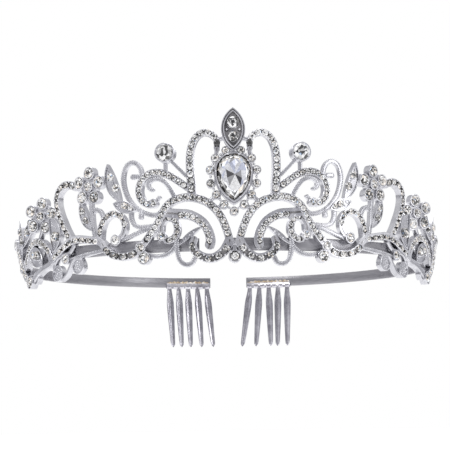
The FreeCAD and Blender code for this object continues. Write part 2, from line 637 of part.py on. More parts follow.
def add_front():
    """All castings, wires, settings and stones of the filigree."""
    marquise = marquise_outline()
    pear = pear_outline(sheet.collet_wall)
    centre_cups = [disc(across, height, HALO_CUP) for across, height in HALO_SEATS]
    halo = joined(centre_cups + mirrored_faces(centre_cups) + [disc(*HALO_BOTTOM, HALO_CUP),
                                                               pear_outline(1.15)])
    halo = without(halo, [pear, marquise])
    tall_cup = disc(*TALL_STONE)
    drop_cup = disc(*DROP_STONE)
    settings = [marquise, pear, tall_cup, drop_cup] + mirrored_faces([tall_cup])
    centre = centre_half()
    centre = joined(centre + mirrored_faces(centre) + bottom_bridge())
    centre = without(centre, settings + halo)
    flower = joined(flower_faces(FLOWER, FLOWER_TURN))
    end_flower = joined(flower_faces(END_FLOWER, END_FLOWER_TURN))
    side = without(joined(side_half()), centre + flower + end_flower)
    end = without(joined(end_half()), side + end_flower + flower)
    add_feature("centre_casting", rolled(centre))
    add_feature("halo_casting", rolled(halo))
    add_pair("side_casting", rolled(side))
    bent_flower = bent_forwards(rolled(end_flower))
    trimmed = [solid.cut(bent_flower) for solid in rolled(end)]
    add_pair("end_casting", [rest for cut in trimmed for rest in cut.Solids])
    add_pair("side_flower", rolled(flower))
    add_pair("end_flower", bent_flower)
    castings = centre + side + end + flower + end_flower
    groups = [("hook_wire", [hook_wire, HOOK_END, HOOK_KNOB]),
              ("curl_wire", [curl_wire, SCROLL_TAIL]),
              ("vine_wires", [upper_vine, lower_vine, small_loop]),
              ("lower_wires", [u_loop, low_wire, side_wire])]
    laid = castings
    for name, wires in groups:
        faces = without(joined([wire.face() for wire in wires]), laid)
        laid = laid + faces
        add_pair(name, rolled(faces, WIRE_BACK, WIRE_FRONT))
    add_feature("pear_collet", collet(pear, pear_outline(0)))
    add_feature("marquise_collet", collet(marquise, marquise_outline(sheet.collet_wall)))
    add_pair("tall_collet", cup(*TALL_STONE))
    add_feature("drop_collet", cup(*DROP_STONE))


CUP_RIM = 0.6
PETAL_RIM = 0.55
BALL_RIM = 0.45
HEART_STONE = 1.3
SCROLL_BALL_STONE = 1.05
RING_BALL_STONE = 1.1
END_BALL_STONE = 1.35
END_DROP_STONE = 1.5


def flower_seats(centre, turn):
    """One stone in each petal and one in the heart of a flower."""
    petals = [(across, height, PETAL_RADIUS - PETAL_RIM)
              for across, height, radius in petal_discs(centre, turn)]
    return petals + [(*centre, HEART_STONE)]


def add_stones():
    """The stones, grouped by the piece that holds them."""
    add_feature("pear_stone", pear_stone())
    add_feature("marquise_stones", placed_stones(MARQUISE_STONES))
    halo = [(sign * across, height, HALO_STONE) for across, height in HALO_SEATS for sign in (1, -1)]
    add_feature("halo_stones", placed_stones(halo + [(*HALO_BOTTOM, HALO_STONE)]))
    across, height, radius = TALL_STONE
    add_pair("tall_stone", placed_stones([(across, height, radius - CUP_RIM)]))
    across, height, radius = DROP_STONE
    add_feature("drop_stone", placed_stones([(across, height, radius - CUP_RIM)]))
    bottom = placed_stones(bottom_arc.seats(1.0, gap=0.5, from_start=1.2, from_end=1.0))
    add_feature("bottom_stones", bottom + mirrored_solids(bottom))
    groups = [
        ("petal_stones", petal.seats(0.95, from_start=0.7, from_end=0.6)),
        ("arc_stones", main_arc.seats(0.9, from_start=2.0, from_end=1.7)),
        ("scroll_stones", upper_scroll.seats(0.8, from_start=0.9, from_end=1.2)
         + [(*SCROLL_BALL[:2], SCROLL_BALL_STONE)]),
        ("inner_stones", inner_scroll.seats(0.8, from_start=3.0, from_end=0.5)
         + ring_scroll.seats(0.7, from_start=4.4, from_end=0.5) + [(*RING_BALL[:2], RING_BALL_STONE)]),
        ("loop_stones", heavy_loop.seats(0.9, gap=0.7, from_start=1.6, from_end=4.0)
         + low_arc.seats(0.95, gap=0.6, from_start=1.6, from_end=1.4)),
        ("side_stones", side_loop.seats(0.95, gap=0.9, from_start=1.0, from_end=1.2)
         + wave.seats(0.9, gap=0.8, from_start=1.0, from_end=2.2)),
        ("ball_stones", [(*ball[:2], ball[2] - BALL_RIM)
                         for ball in (LOOP_BALL, CLUSTER_BALL, LOW_DROP, CURL_BALL)]),
        ("leaf_stones", LEAF_STONES),
        ("flower_stones", flower_seats(FLOWER, FLOWER_TURN)),
        ("end_stones", end_arch.seats(0.9, gap=0.5, from_start=2.6, from_end=0.6)
         + end_scroll.seats(1.1, gap=0.3, from_start=2.2, from_end=2.4)
         + [(*END_BALL[:2], END_BALL_STONE), (*END_DROP[:2], END_DROP_STONE), CUP_BALL]
         + END_STONES),
    ]
    for name, seats in groups:
        add_pair(name, placed_stones(seats))
    flower_stones = placed_stones(flower_seats(END_FLOWER, END_FLOWER_TURN))
    add_pair("end_flower_stones", bent_forwards(flower_stones))


def check_and_write():
    """Stops on any failed object, then writes one file for each sub-part."""
    document.recompute()
    for item in document.Objects:
        if "Invalid" in item.State or "Error" in item.State:
            raise RuntimeError(f"{item.Label} failed: {item.State}")
    for part in parts:
        if part.Shape.isNull() or not part.Shape.isValid():
            raise RuntimeError(f"{part.Label} has no valid shape")
    os.makedirs("parts", exist_ok=True)
    for part in parts:
        part.Shape.exportStep(f"parts/{part.Label}.step")
        print(part.Label, len(part.Shape.Solids), round(part.Shape.Volume, 2))


add_band()
add_comb("left", sheet.left_end_angle, 1, LEFT_LEANS)
add_comb("right", sheet.right_end_angle, -1, RIGHT_LEANS)
add_front()
add_stones()
check_and_write()
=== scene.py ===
import bmesh
import bpy
import math
import random
from mathutils import Matrix, Vector


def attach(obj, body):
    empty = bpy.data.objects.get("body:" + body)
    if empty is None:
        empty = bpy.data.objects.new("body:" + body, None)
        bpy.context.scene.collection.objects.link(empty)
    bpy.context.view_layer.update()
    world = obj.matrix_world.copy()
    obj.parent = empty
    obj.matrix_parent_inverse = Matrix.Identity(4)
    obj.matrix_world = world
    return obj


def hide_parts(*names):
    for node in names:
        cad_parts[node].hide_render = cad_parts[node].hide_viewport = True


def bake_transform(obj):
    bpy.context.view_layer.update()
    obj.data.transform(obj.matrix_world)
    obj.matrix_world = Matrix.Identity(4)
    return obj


# Bridal tiara. Row frame: +Z up, the front faces -Y, the head band ring is centred on Z.
# Everything on the front is laid out in an unrolled drawing: "across" runs along the face of the
# castings, "height" up from the band and "radius" out from the ring's axis, all in millimetres.
# Only the +X half is listed; the other half is its mirror image.

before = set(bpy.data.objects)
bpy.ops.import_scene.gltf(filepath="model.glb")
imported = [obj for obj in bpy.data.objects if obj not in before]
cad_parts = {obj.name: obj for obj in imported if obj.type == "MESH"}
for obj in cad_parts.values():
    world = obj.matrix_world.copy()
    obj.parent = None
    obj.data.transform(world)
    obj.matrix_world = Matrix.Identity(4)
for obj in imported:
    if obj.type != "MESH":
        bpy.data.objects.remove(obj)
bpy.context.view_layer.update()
MM = 0.001

# ---------------------------------------------------------------- driving sizes, in millimetres
# Angles are in degrees. The floor's sizes and the lights' places are in metres.

BAND_INNER = 70.0
BAND_OUTER = 70.9
BAND_HALF = 1.95
BAND_EDGE = 0.28
FRONT = 72.6
LIFT = 0.3
CREST = FRONT + 0.3
FLOOR = FRONT - 0.35
WIRE_FRONT = FRONT - 0.3
SETTING_FRONT = FRONT + 1.3
RIM = 0.32
BEVEL = 0.1
LIP = 0.06
LIP_DROP = 0.08
STEP = 0.4
LEFT_END_ANGLE = 177.1
RIGHT_END_ANGLE = 171.1
LEFT_STRIP_START = 8.5
RIGHT_STRIP_START = -1.2

# ---------------------------------------------------------------- materials


def node_tree(name):
    material = bpy.data.materials.new(name)
    material.use_nodes = True
    nodes = material.node_tree.nodes
    return material, nodes, material.node_tree.links, nodes["Principled BSDF"]


def add(nodes, kind, **values):
    node = nodes.new(kind)
    for key, value in values.items():
        if key in node.inputs:
            node.inputs[key].default_value = value
        else:
            setattr(node, key, value)
    return node


def ramp(nodes, stops):
    node = nodes.new("ShaderNodeValToRGB")
    band = node.color_ramp
    while len(band.elements) < len(stops):
        band.elements.new(0.5)
    for element, (place, colour) in zip(band.elements, stops):
        element.position = place
        element.color = (*colour, 1.0)
    return node


def noise(nodes, links, place, **values):
    """The value of a noise texture at a place."""
    texture = add(nodes, "ShaderNodeTexNoise", **values)
    links.new(place, texture.inputs["Vector"])
    return texture.outputs["Fac"]


def coloured(nodes, links, shader, value, stops):
    """Sets the base colour from a value."""
    colour = ramp(nodes, stops)
    links.new(value, colour.inputs["Fac"])
    links.new(colour.outputs["Color"], shader.inputs["Base Color"])


def embossed(nodes, links, shader, value, strength, distance):
    """Sets the relief of the surface from a value."""
    relief = add(nodes, "ShaderNodeBump", Strength=strength, Distance=distance)
    links.new(value, relief.inputs["Height"])
    links.new(relief.outputs["Normal"], shader.inputs["Normal"])


def metal(name, dark, light, rough_low, rough_high, grain=900.0, bump=0.15, stretch=(1, 1, 1)):
    """Plated metal: cloudy colour, uneven polish and a fine grain in its surface."""
    material, nodes, links, shader = node_tree(name)
    shader.inputs["Metallic"].default_value = 1.0
    place = add(nodes, "ShaderNodeTexCoord")
    scale = add(nodes, "ShaderNodeMapping", Scale=stretch)
    links.new(place.outputs["Object"], scale.inputs["Vector"])
    spot = scale.outputs["Vector"]
    cloud = noise(nodes, links, spot, Scale=260.0, Detail=6.0, Roughness=0.6)
    coloured(nodes, links, shader, cloud, [(0.35, dark), (0.65, light)])
    polish = add(nodes, "ShaderNodeMapRange")
    polish.inputs["To Min"].default_value = rough_low
    polish.inputs["To Max"].default_value = rough_high
    links.new(cloud, polish.inputs["Value"])
    links.new(polish.outputs["Result"], shader.inputs["Roughness"])
    fine = noise(nodes, links, spot, Scale=grain, Detail=8.0, Roughness=0.7)
    embossed(nodes, links, shader, fine, bump, 0.0001)
    return material


def crystal(name, gloss=0.06, metallic=0.30):
    """Foil-backed crystal: each facet's colour is painted as a glint, a dark reflection or grey, and
    is broken up by a fine cell pattern of painted reflections of the facets seen through it.
    """
    material, nodes, links, shader = node_tree(name)
    shader.inputs["Metallic"].default_value = metallic
    shader.inputs["Roughness"].default_value = gloss
    shader.inputs["Coat Weight"].default_value = 1.0
    shader.inputs["Coat Roughness"].default_value = 0.02
    tone = add(nodes, "ShaderNodeVertexColor", layer_name="facet")
    place = add(nodes, "ShaderNodeTexCoord")
    cells = add(nodes, "ShaderNodeTexVoronoi", Scale=1700.0)
    links.new(place.outputs["Object"], cells.inputs["Vector"])
    inner = ramp(nodes, [(0.25, (0.42, 0.41, 0.40)), (0.75, (1.0, 1.0, 1.0))])
    links.new(cells.outputs["Color"], inner.inputs["Fac"])
    mix = add(nodes, "ShaderNodeMix", data_type="RGBA", blend_type="MULTIPLY")
    mix.inputs["Factor"].default_value = 0.35
    links.new(tone.outputs["Color"], mix.inputs["A"])
    links.new(inner.outputs["Color"], mix.inputs["B"])
    links.new(mix.outputs["Result"], shader.inputs["Base Color"])
    return material


def solder_metal(name):
    """A lumpy solder bead with a warm heat stain."""
    material, nodes, links, shader = node_tree(name)
    shader.inputs["Metallic"].default_value = 0.9
    shader.inputs["Roughness"].default_value = 0.34
    place = add(nodes, "ShaderNodeTexCoord")
    cloud = noise(nodes, links, place.outputs["Object"], Scale=420.0, Detail=7.0, Roughness=0.65)
    coloured(nodes, links, shader, cloud, [(0.32, (0.20, 0.14, 0.10)), (0.48, (0.55, 0.44, 0.30)),
                                           (0.6, (0.74, 0.71, 0.68))])
    embossed(nodes, links, shader, cloud, 0.8, 0.0004)
    return material


# The recess and milgrain metals are darker and lighter copies of the cast silver: painted shade for
# the floors of channels and cups, painted highlight for crests, rims, claws and beads.
SILVER = metal("cast silver", (0.46, 0.46, 0.485), (0.63, 0.63, 0.655), 0.18, 0.36)
LIT_SILVER = metal("silver with painted highlight", (0.50, 0.50, 0.53), (0.80, 0.80, 0.82), 0.14, 0.32)
SHADED_SILVER = metal("silver with painted shade", (0.14, 0.138, 0.14), (0.50, 0.49, 0.49), 0.22, 0.45, bump=0.5)
SATIN = metal("satin band steel", (0.26, 0.257, 0.275), (0.33, 0.327, 0.345), 0.24, 0.36,
              grain=1400.0, bump=0.25, stretch=(1, 1, 9))
COMB = metal("comb steel", (0.42, 0.41, 0.45), (0.66, 0.65, 0.69), 0.08, 0.22, bump=0.08)
SOLDER = solder_metal("stained solder")
CRYSTAL = crystal("foil-backed crystal")
PEAR = crystal("centre crystal", gloss=0.04, metallic=0.4)
# Slots: 0 the cast silver, 1 its darker copy with painted shade, 2 its lighter copy with painted
# highlight.
FRONT_METALS = [SILVER, SHADED_SILVER, LIT_SILVER]


# ---------------------------------------------------------------- curves in the unrolled drawing

def smooth_path(points, step=STEP):
    """Evenly spaced (across, height) places on a smooth curve through the points."""
    dense = []
    ends = [points[0]] + list(points) + [points[-1]]
    for index in range(1, len(ends) - 2):
        before, start, end, after = ends[index - 1:index + 3]
        for part in range(12):
            t = part / 12
            place = []
            for axis in (0, 1):
                a, b, c, d = before[axis], start[axis], end[axis], after[axis]
                place.append(0.5 * (2 * b + (c - a) * t + (2 * a - 5 * b + 4 * c - d) * t * t
                                    + (3 * b - a - 3 * c + d) * t ** 3))
            dense.append(Vector(place))
    dense.append(Vector(points[-1]))
    lengths = [0.0]
    for first, second in zip(dense, dense[1:]):
        lengths.append(lengths[-1] + (second - first).length)
    count = max(3, round(lengths[-1] / step))
    places = []
    at = 0
    for index in range(count + 1):
        target = lengths[-1] * index / count
        while at < len(dense) - 2 and lengths[at + 1] < target:
            at += 1
        share = (target - lengths[at]) / max(lengths[at + 1] - lengths[at], 1e-9)
        places.append(dense[at].lerp(dense[at + 1], min(max(share, 0), 1)))
    return places


def directions(path):
    """The direction along the path at each of its places."""
    found = []
    for index in range(len(path)):
        before = path[max(index - 1, 0)]
        after = path[min(index + 1, len(path) - 1)]
        found.append((after - before).normalized())
    return found


class Rail:
    """A scroll: places and directions along its centre line, and its width at each."""

    def __init__(self, points, width, end_width=None, aside=0.0, step=STEP):
        self.aside = aside
        self.path = smooth_path(points, step)
        self.along = directions(self.path)
        last = width if end_width is None else end_width
        count = len(self.path) - 1
        self.widths = [width + (last - width) * index / count for index in range(count + 1)]
        self.spacing = sum((b - a).length for a, b in zip(self.path, self.path[1:])) / count

    def place(self, distance, sideways=0.0):
        """A place at a distance along the centre line, moved sideways."""
        where = min(max(distance / self.spacing, 0), len(self.path) - 1.001)
        index = int(where)
        spot = self.path[index].lerp(self.path[index + 1], where - index)
        along = self.along[index]
        return spot + Vector((-along.y, along.x)) * sideways

    def length(self):
        return self.spacing * (len(self.path) - 1)

    def width_at(self, distance):
        index = min(int(distance / self.spacing), len(self.widths) - 1)
        return self.widths[index]

    def seats(self, radius, gap=0.15, from_start=0.0, from_end=0.0):
        """Evenly spaced distances for stones of a radius."""
        run = self.length() - from_start - from_end - 2 * radius
        count = max(1, int(run / (2 * radius + gap)) + 1)
        spacing = run / (count - 1) if count > 1 else 0
        return [from_start + radius + index * spacing for index in range(count)]


# ---------------------------------------------------------------- mesh building

CAP_ANGLES = (8, 20, 34, 43, 50, 62, 76)
STONE_FILL = 1.06
GRAIN = 0.30
GRAIN_PITCH = 0.62
PRONG = 0.38
CLAW = 0.3


class Piece:
    """One visible piece, collected in the unrolled drawing and rolled up when it is finished."""

    def __init__(self, name, materials, side=1, seed=1):
        self.name = name
        self.materials = materials
        self.side = side
        self.random = random.Random(seed)
        self.tilt = 0
        self.pivot = 0
        self.points = []
        self.faces = []
        self.slots = []
        self.tones = []
        self.flat = []

    def point(self, across, height, radius):
        """Adds a vertex of the unrolled drawing, rolled round the ring, and gives its number."""
        angle = across / FRONT
        spot = Vector((radius * math.sin(angle), -radius * math.cos(angle), height + LIFT))
        if self.tilt:
            turn = self.pivot / FRONT
            pivot = Vector((FRONT * math.sin(turn), -FRONT * math.cos(turn), 0))
            spot = Matrix.Rotation(math.radians(-self.tilt), 3, "Z") @ (spot - pivot) + pivot
        self.points.append((self.side * spot.x * MM, spot.y * MM, spot.z * MM))
        return len(self.points) - 1

    def face(self, corners, slot=0, tone=(1, 1, 1), flat=False):
        self.faces.append(corners)
        self.slots.append(slot)
        self.tones.append(tone)
        self.flat.append(flat)

    def skin(self, lower, upper, slots):
        """Faces between two rings of vertices, with a slot for each."""
        count = len(lower)
        for index in range(count):
            after = (index + 1) % count
            self.face([lower[index], lower[after], upper[after], upper[index]], slots[index])

    def fan(self, ring, tip, slot=0):
        """Triangles from a ring of vertices to a tip."""
        for index, corner in enumerate(ring):
            self.face([corner, ring[(index + 1) % len(ring)], tip], slot)

    def hoop(self, across, height, reach, radius, sides, start=0.0):
        """A ring of vertices around a place."""
        turns = [start + 2 * math.pi * index / sides for index in range(sides)]
        return [self.point(across + reach * math.cos(turn), height + reach * math.sin(turn), radius)
                for turn in turns]

    def tube(self, rings, slots):
        """Faces between rings of vertices; the two end rings are capped."""
        for first, second in zip(rings, rings[1:]):
            self.skin(first, second, slots)
        self.face(rings[0][::-1])
        self.face(rings[-1])

    def sweep(self, rail, profile, slots):
        """A profile of (sideways, radius) corners carried along a rail, with round ends."""
        rings = []
        last = len(rail.path) - 1
        caps = [math.cos(math.radians(angle)) for angle in CAP_ANGLES]
        stations = [(0, -reach) for reach in caps]
        stations += [(index, 0) for index in range(last + 1)]
        stations += [(last, reach) for reach in caps[::-1]]
        for index, reach in stations:
            half = rail.widths[index] / 2
            along = rail.along[index]
            spot = rail.path[index] + along * (reach * half)
            across = Vector((-along.y, along.x))
            ring = []
            for sideways, radius in profile(half, abs(reach), index * rail.spacing):
                place = spot + across * sideways
                ring.append(self.point(place.x, place.y, radius))
            rings.append(ring)
        self.tube(rings, slots)

    def channel(self, rail, from_start=0, from_end=0, crest=CREST, floor=FLOOR, rim=RIM):
        """A rail with a raised rim on both sides of a channel, up to where its stones end; the
        channel's floor is silver with painted shade and its crests silver with painted highlight.
        Where the stones sit to one side, the rim on the other side is a broad smooth edge."""
        back = BAND_OUTER
        last_open = rail.length() - from_end

        def profile(half, reach, distance):
            wide = half * math.sqrt(1 - reach * reach)
            aside = rail.aside
            open_width = math.sqrt(max((half - rim - abs(aside)) ** 2 - (reach * half) ** 2, 0))
            if not from_start <= distance <= last_open:
                open_width = 0
                aside = 0
            inner = max(open_width, 0.15 * wide)
            edge = min(BEVEL, 0.2 * wide)
            lip = min(LIP, 0.5 * (wide - edge - inner - abs(aside)))
            wall, mouth = crest - BEVEL, crest - LIP_DROP
            bottom = floor if open_width > 0 else wall
            left, right = aside - inner, aside + inner
            return [(-wide, back), (wide, back), (wide, wall), (wide - edge, crest),
                    (right + lip, crest), (right, mouth), (right, bottom), (left, bottom),
                    (left, mouth), (left - lip, crest), (-wide + edge, crest), (-wide, wall)]

        self.sweep(rail, profile, [0, 0, 2, 2, 2, 1, 1, 1, 2, 2, 2, 0])

    def bar(self, rail, crest=FRONT, back=BAND_OUTER, slot=0, round_top=0.6):
        """A plain bar with a rounded front."""
        def profile(half, reach, distance):
            wide = half * math.sqrt(1 - reach * reach)
            top = crest - half * round_top * reach ** 3
            swell = half * round_top
            return [(-wide, back), (wide, back), (wide, top - swell), (0.8 * wide, top - 0.4 * swell),
                    (0.4 * wide, top - 0.08 * swell), (0, top), (-0.4 * wide, top - 0.08 * swell),
                    (-0.8 * wide, top - 0.4 * swell), (-wide, top - swell)]

        self.sweep(rail, profile, [slot] * 9)

    def plate(self, outline, crest=CREST, floor=FLOOR, back=BAND_OUTER, rim=RIM, slot=1, edge=2):
        """A closed outline as a dish: side wall, raised rim and a floor, with a flat back."""
        # By default the floor takes slot 1, painted shade, and the rim takes slot 2, painted
        # highlight.
        levels = [(0, back), (0, crest - BEVEL), (BEVEL, crest), (rim - LIP, crest),
                  (rim, crest - LIP_DROP), (rim, floor)]
        rings = []
        for inset, radius in levels:
            rings.append([self.point(p.x, p.y, radius) for p in inset_outline(outline, inset)])
        count = len(outline)
        for wall, lower, upper in zip((0, edge, edge, edge, slot), rings, rings[1:]):
            self.skin(lower, upper, [wall] * count)
        middle = sum(outline, Vector((0, 0))) / count
        self.fan(rings[-1], self.point(middle.x, middle.y, floor), slot)
        self.fan(rings[0][::-1], self.point(middle.x, middle.y, back))

    def ring(self, outer, inner, back, crest):
        """A wall between two outlines with the same number of corners."""
        shoulder = [first.lerp(second, 0.3) for first, second in zip(outer, inner)]
        lip = [first.lerp(second, 0.8) for first, second in zip(outer, inner)]
        levels = [(outer, back), (outer, crest - LIP_DROP), (shoulder, crest), (lip, crest),
                  (inner, crest - LIP_DROP), (inner, back)]
        rings = [[self.point(p.x, p.y, radius) for p in outline] for outline, radius in levels]
        for lower, upper in zip(rings, rings[1:] + rings[:1]):
            self.skin(lower, upper, [0] * len(outer))

    def bead(self, across, height, radius, size, slot=2, sides=8):
        """A small round bead half sunk in the surface at a radius."""
        # Beads take slot 2 by default: silver with painted highlight.
        rings = []
        for polar in (90, 60, 30):
            reach = size * math.sin(math.radians(polar))
            rise = size * math.cos(math.radians(polar))
            rings.append(self.hoop(across, height, reach, radius + rise, sides))
        top = self.point(across, height, radius + size)
        for lower, upper in zip(rings, rings[1:]):
            self.skin(lower, upper, [slot] * sides)
        self.fan(rings[-1], top, slot)
        self.face(rings[0][::-1], slot)

    def milgrain(self, rail, crest=WIRE_FRONT, size=GRAIN, pitch=GRAIN_PITCH, back=BAND_OUTER + 0.2):
        """A thin wire edged with two rows of tiny beads."""
        self.bar(rail, crest=crest, back=back, slot=0, round_top=0.2)
        count = max(2, round(rail.length() / pitch))
        for index in range(count + 1):
            distance = rail.length() * index / count
            sideways = rail.width_at(distance) / 2 - 0.5 * size
            for sign in (1, -1):
                spot = rail.place(distance, sign * sideways)
                self.bead(spot.x, spot.y, crest - 0.06, size, slot=2, sides=6)

    def prongs(self, rail, distances, crest=CREST):
        """Pairs of bead prongs on the rims between neighbouring stones."""
        for first, second in zip(distances, distances[1:]):
            middle = (first + second) / 2
            sideways = rail.width_at(middle) / 2 - abs(rail.aside) - RIM * 0.9
            for sign in (1, -1):
                spot = rail.place(middle, rail.aside + sign * sideways)
                self.bead(spot.x, spot.y, crest - 0.16, PRONG)

    def cup(self, across, height, size, crest=SETTING_FRONT, floor=FRONT, claws=4, rim=0.4):
        """A round setting with small claws over its rim."""
        self.plate(circle(across, height, size), crest, floor, BAND_OUTER, rim)
        for index in range(claws):
            angle = 2 * math.pi * (index + 0.5) / claws
            reach = size - 0.75 * rim
            self.bead(across + reach * math.cos(angle), height + reach * math.sin(angle),
                      crest - 0.08, CLAW)

    def stone(self, across, height, size, base=FLOOR, bias=0.0, warm=0.15):
        """A round brilliant: girdle, crown facets and a table split by the facets beneath it."""
        size = size * STONE_FILL
        turn = self.random.uniform(0, math.pi)
        mood = bias + self.random.uniform(-0.16, 0.16)

        def circle_of(sides, reach, rise, shift=0.0):
            return self.hoop(across, height, size * reach, base + size * rise, sides,
                             turn + 2 * math.pi * shift / sides)

        # Each facet gets by chance a painted glint, a painted dark reflection or grey; the stone's
        # mood shifts the odds.
        def facet(corners, dark, bright):
            self.face(corners, 0, self.painted_sparkle(dark, bright, mood, warm), True)

        bottom = circle_of(16, 1.0, 0.0)
        girdle = circle_of(16, 1.0, 0.5)
        crown = circle_of(8, 0.82, 0.70, 0.5)
        table = circle_of(8, 0.58, 0.82)
        heart = circle_of(8, 0.30, 0.80, 0.5)
        for index in range(16):
            after = (index + 1) % 16
            facet([bottom[index], bottom[after], girdle[after], girdle[index]], 0.15, 0.3)
        for index in range(8):
            after = (index + 1) % 8
            facet([girdle[2 * index], girdle[2 * index + 1], crown[index]], 0.22, 0.45)
            facet([girdle[2 * index + 1], girdle[(2 * index + 2) % 16], crown[index]], 0.22, 0.45)
            facet([girdle[(2 * index + 2) % 16], crown[after], table[after], crown[index]], 0.22, 0.5)
            facet([crown[index], table[after], table[index]], 0.25, 0.5)
            facet([table[index], table[after], heart[index]], 0.35, 0.45)
            facet([heart[index], table[after], heart[after]], 0.35, 0.45)
        for half in (heart[:5], heart[4:] + heart[:1]):
            facet(half, 0.45, 0.4)
        self.face(bottom[::-1], 0, (0.1, 0.1, 0.1), True)

    def painted_sparkle(self, dark, bright, bias, warm):
        """A facet's painted tone: a painted dark reflection, a painted glint or grey by chance,
        tinted warm (partly the foil's own colour, partly painted reflection) or, rarely, blue (a
        painted flash of colour).
        """
        chance = self.random.random() + bias
        if chance < dark:
            tone = self.random.uniform(0.01, 0.12)
        elif chance > 1 - bright:
            tone = self.random.uniform(0.9, 1.0)
        else:
            tone = self.random.uniform(0.3, 0.7)
        hue = self.random.random()
        if hue < warm:
            return (tone, tone * 0.91, tone * 0.80)
        if hue > 0.975:
            return (tone * 0.6, tone * 0.76, tone)
        return (tone, tone, tone * 0.99)

    def mesh_object(self, sharp):
        """Makes the mesh object, with all of its closed shells facing outwards."""
        mesh = bpy.data.meshes.new(self.name)
        mesh.from_pydata(self.points, [], self.faces)
        for material in self.materials:
            mesh.materials.append(material)
        tones = mesh.color_attributes.new("facet", "FLOAT_COLOR", "CORNER")
        for polygon, slot_index, tone, flat in zip(mesh.polygons, self.slots, self.tones, self.flat):
            polygon.material_index = slot_index
            polygon.use_smooth = not flat
            for corner in polygon.loop_indices:
                tones.data[corner].color = (*tone, 1.0)
        shells = bmesh.new()
        shells.from_mesh(mesh)
        bmesh.ops.recalc_face_normals(shells, faces=shells.faces)
        shells.to_mesh(mesh)
        shells.free()
        mesh.set_sharp_from_angle(angle=math.radians(sharp))
        mesh.update()
        shown = bpy.data.objects.new(self.name, mesh)
        bpy.context.scene.collection.objects.link(shown)
        return shown

    def finish(self, body, node, sharp=38):
        """Makes the piece, which rides on its body and stands for its CAD node."""
        shown = self.mesh_object(sharp)
        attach(shown, body)
        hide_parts(node)
        return shown


def circle(across, height, size, sides=28):
    return [Vector((across + size * math.cos(2 * math.pi * n / sides),
                    height + size * math.sin(2 * math.pi * n / sides))) for n in range(sides)]


def inset_outline(outline, inset):
    """The closed outline drawn in by a distance, with its sharp tips kept."""
    if inset == 0:
        return outline
    count = len(outline)
    drawn = []
    for index, spot in enumerate(outline):
        before = (spot - outline[index - 1]).normalized()
        after = (outline[(index + 1) % count] - spot).normalized()
        first = Vector((-before.y, before.x))
        second = Vector((-after.y, after.x))
        middle = (first + second).normalized()
        drawn.append(spot + middle * (inset / max(middle.dot(first), 0.45)))
    return drawn


def arc_points(start, middle, end, count):
    """Places on the circle through three points, from the first to the last."""
    a, b, c = Vector(start), Vector(middle), Vector(end)
    d = 2 * (a.x * (b.y - c.y) + b.x * (c.y - a.y) + c.x * (a.y - b.y))
    if abs(d) < 1e-6:
        return [a.lerp(c, n / count) for n in range(count + 1)]
    ux = (a.length_squared * (b.y - c.y) + b.length_squared * (c.y - a.y)
          + c.length_squared * (a.y - b.y)) / d
    uy = (a.length_squared * (c.x - b.x) + b.length_squared * (a.x - c.x)
          + c.length_squared * (b.x - a.x)) / d
    centre = Vector((ux, uy))
    radius = (a - centre).length
    angles = [math.atan2(p.y - uy, p.x - ux) for p in (a, b, c)]
    sweep = (angles[2] - angles[0]) % (2 * math.pi)
    if (angles[1] - angles[0]) % (2 * math.pi) > sweep:
        sweep -= 2 * math.pi
    return [centre + Vector((math.cos(angles[0] + sweep * n / count),
                             math.sin(angles[0] + sweep * n / count))) * radius
            for n in range(count + 1)]


def leaf_outline(tip, left, base, right, count=12):
    """A leaf with sharp ends, drawn anticlockwise."""
    outline = arc_points(tip, left, base, count)[:-1] + arc_points(base, right, tip, count)[:-1]
    turn = sum(a.x * b.y - b.x * a.y for a, b in zip(outline, outline[1:] + outline[:1]))
    return outline if turn > 0 else outline[::-1]


# ---------------------------------------------------------------- the drawing, middle outwards

RAIL = 2.3
FINE_RAIL = 2.0
WIRE = 1.2
STEM = 1.0

PETAL = Rail([(12.6, 14.6), (12.7, 18.0), (13.0, 22.0), (13.0, 26.0), (12.5, 29.2), (11.2, 31.7),
              (9.2, 33.1), (7.3, 33.0), (5.7, 31.9), (4.9, 30.3), (4.9, 28.3)], 2.6, 1.8)
MAIN_ARC = Rail([(1.4, 0.0), (1.8, 2.0), (2.7, 4.8), (3.9, 7.6), (5.8, 10.2), (8.2, 12.2),
                 (11.2, 13.4), (14.3, 13.8), (17.4, 13.2), (19.8, 11.8), (21.5, 9.5),
                 (22.7, 6.9), (24.3, 4.5), (26.2, 2.0), (27.9, 0.0)], RAIL)
BOTTOM_ARC = Rail([(1.6, 0.3), (2.1, -0.7), (3.2, -2.4), (4.7, -3.7), (6.5, -4.5), (8.5, -4.4),
                   (10.5, -3.5), (12.0, -2.1), (12.4, -0.6), (12.0, 1.0)], 3.0, 2.2, -0.2)
INNER_SCROLL = Rail([(19.6, 9.2), (16.6, 8.9), (13.7, 8.6), (11.2, 7.5), (9.2, 5.9), (8.0, 4.1),
                     (7.3, 2.3), (7.1, 0.6), (7.4, -0.6)], 2.9, 2.8, 0.35)
RING_SCROLL = Rail([(22.1, 4.2), (21.9, 6.0), (20.9, 7.4), (19.3, 7.8), (17.8, 7.0), (17.1, 5.2),
                    (17.1, 3.4), (17.9, 1.9), (19.3, 1.1), (20.6, 1.3)], FINE_RAIL)
UPPER_SCROLL = Rail([(13.5, 16.6), (15.0, 17.5), (18.0, 19.7), (21.0, 21.2), (24.0, 21.7),
                     (26.8, 20.8), (28.6, 18.6), (29.0, 16.0), (28.2, 13.7), (26.4, 12.3),
                     (24.6, 12.3)], 2.2)
RING_BALL = (21.9, 2.4, 1.45)
SCROLL_BALL = (24.3, 12.4, 1.35)
TALL_STONE = (20.5, 27.4, 3.05)
DROP_STONE = (0.0, -4.1, 1.9)
HALO_SEATS = [(2.2, 27.5), (5.4, 25.2), (6.9, 21.7), (6.8, 17.65), (5.2, 14.25), (3.0, 11.3)]
HALO_BOTTOM = (0.0, 9.3)
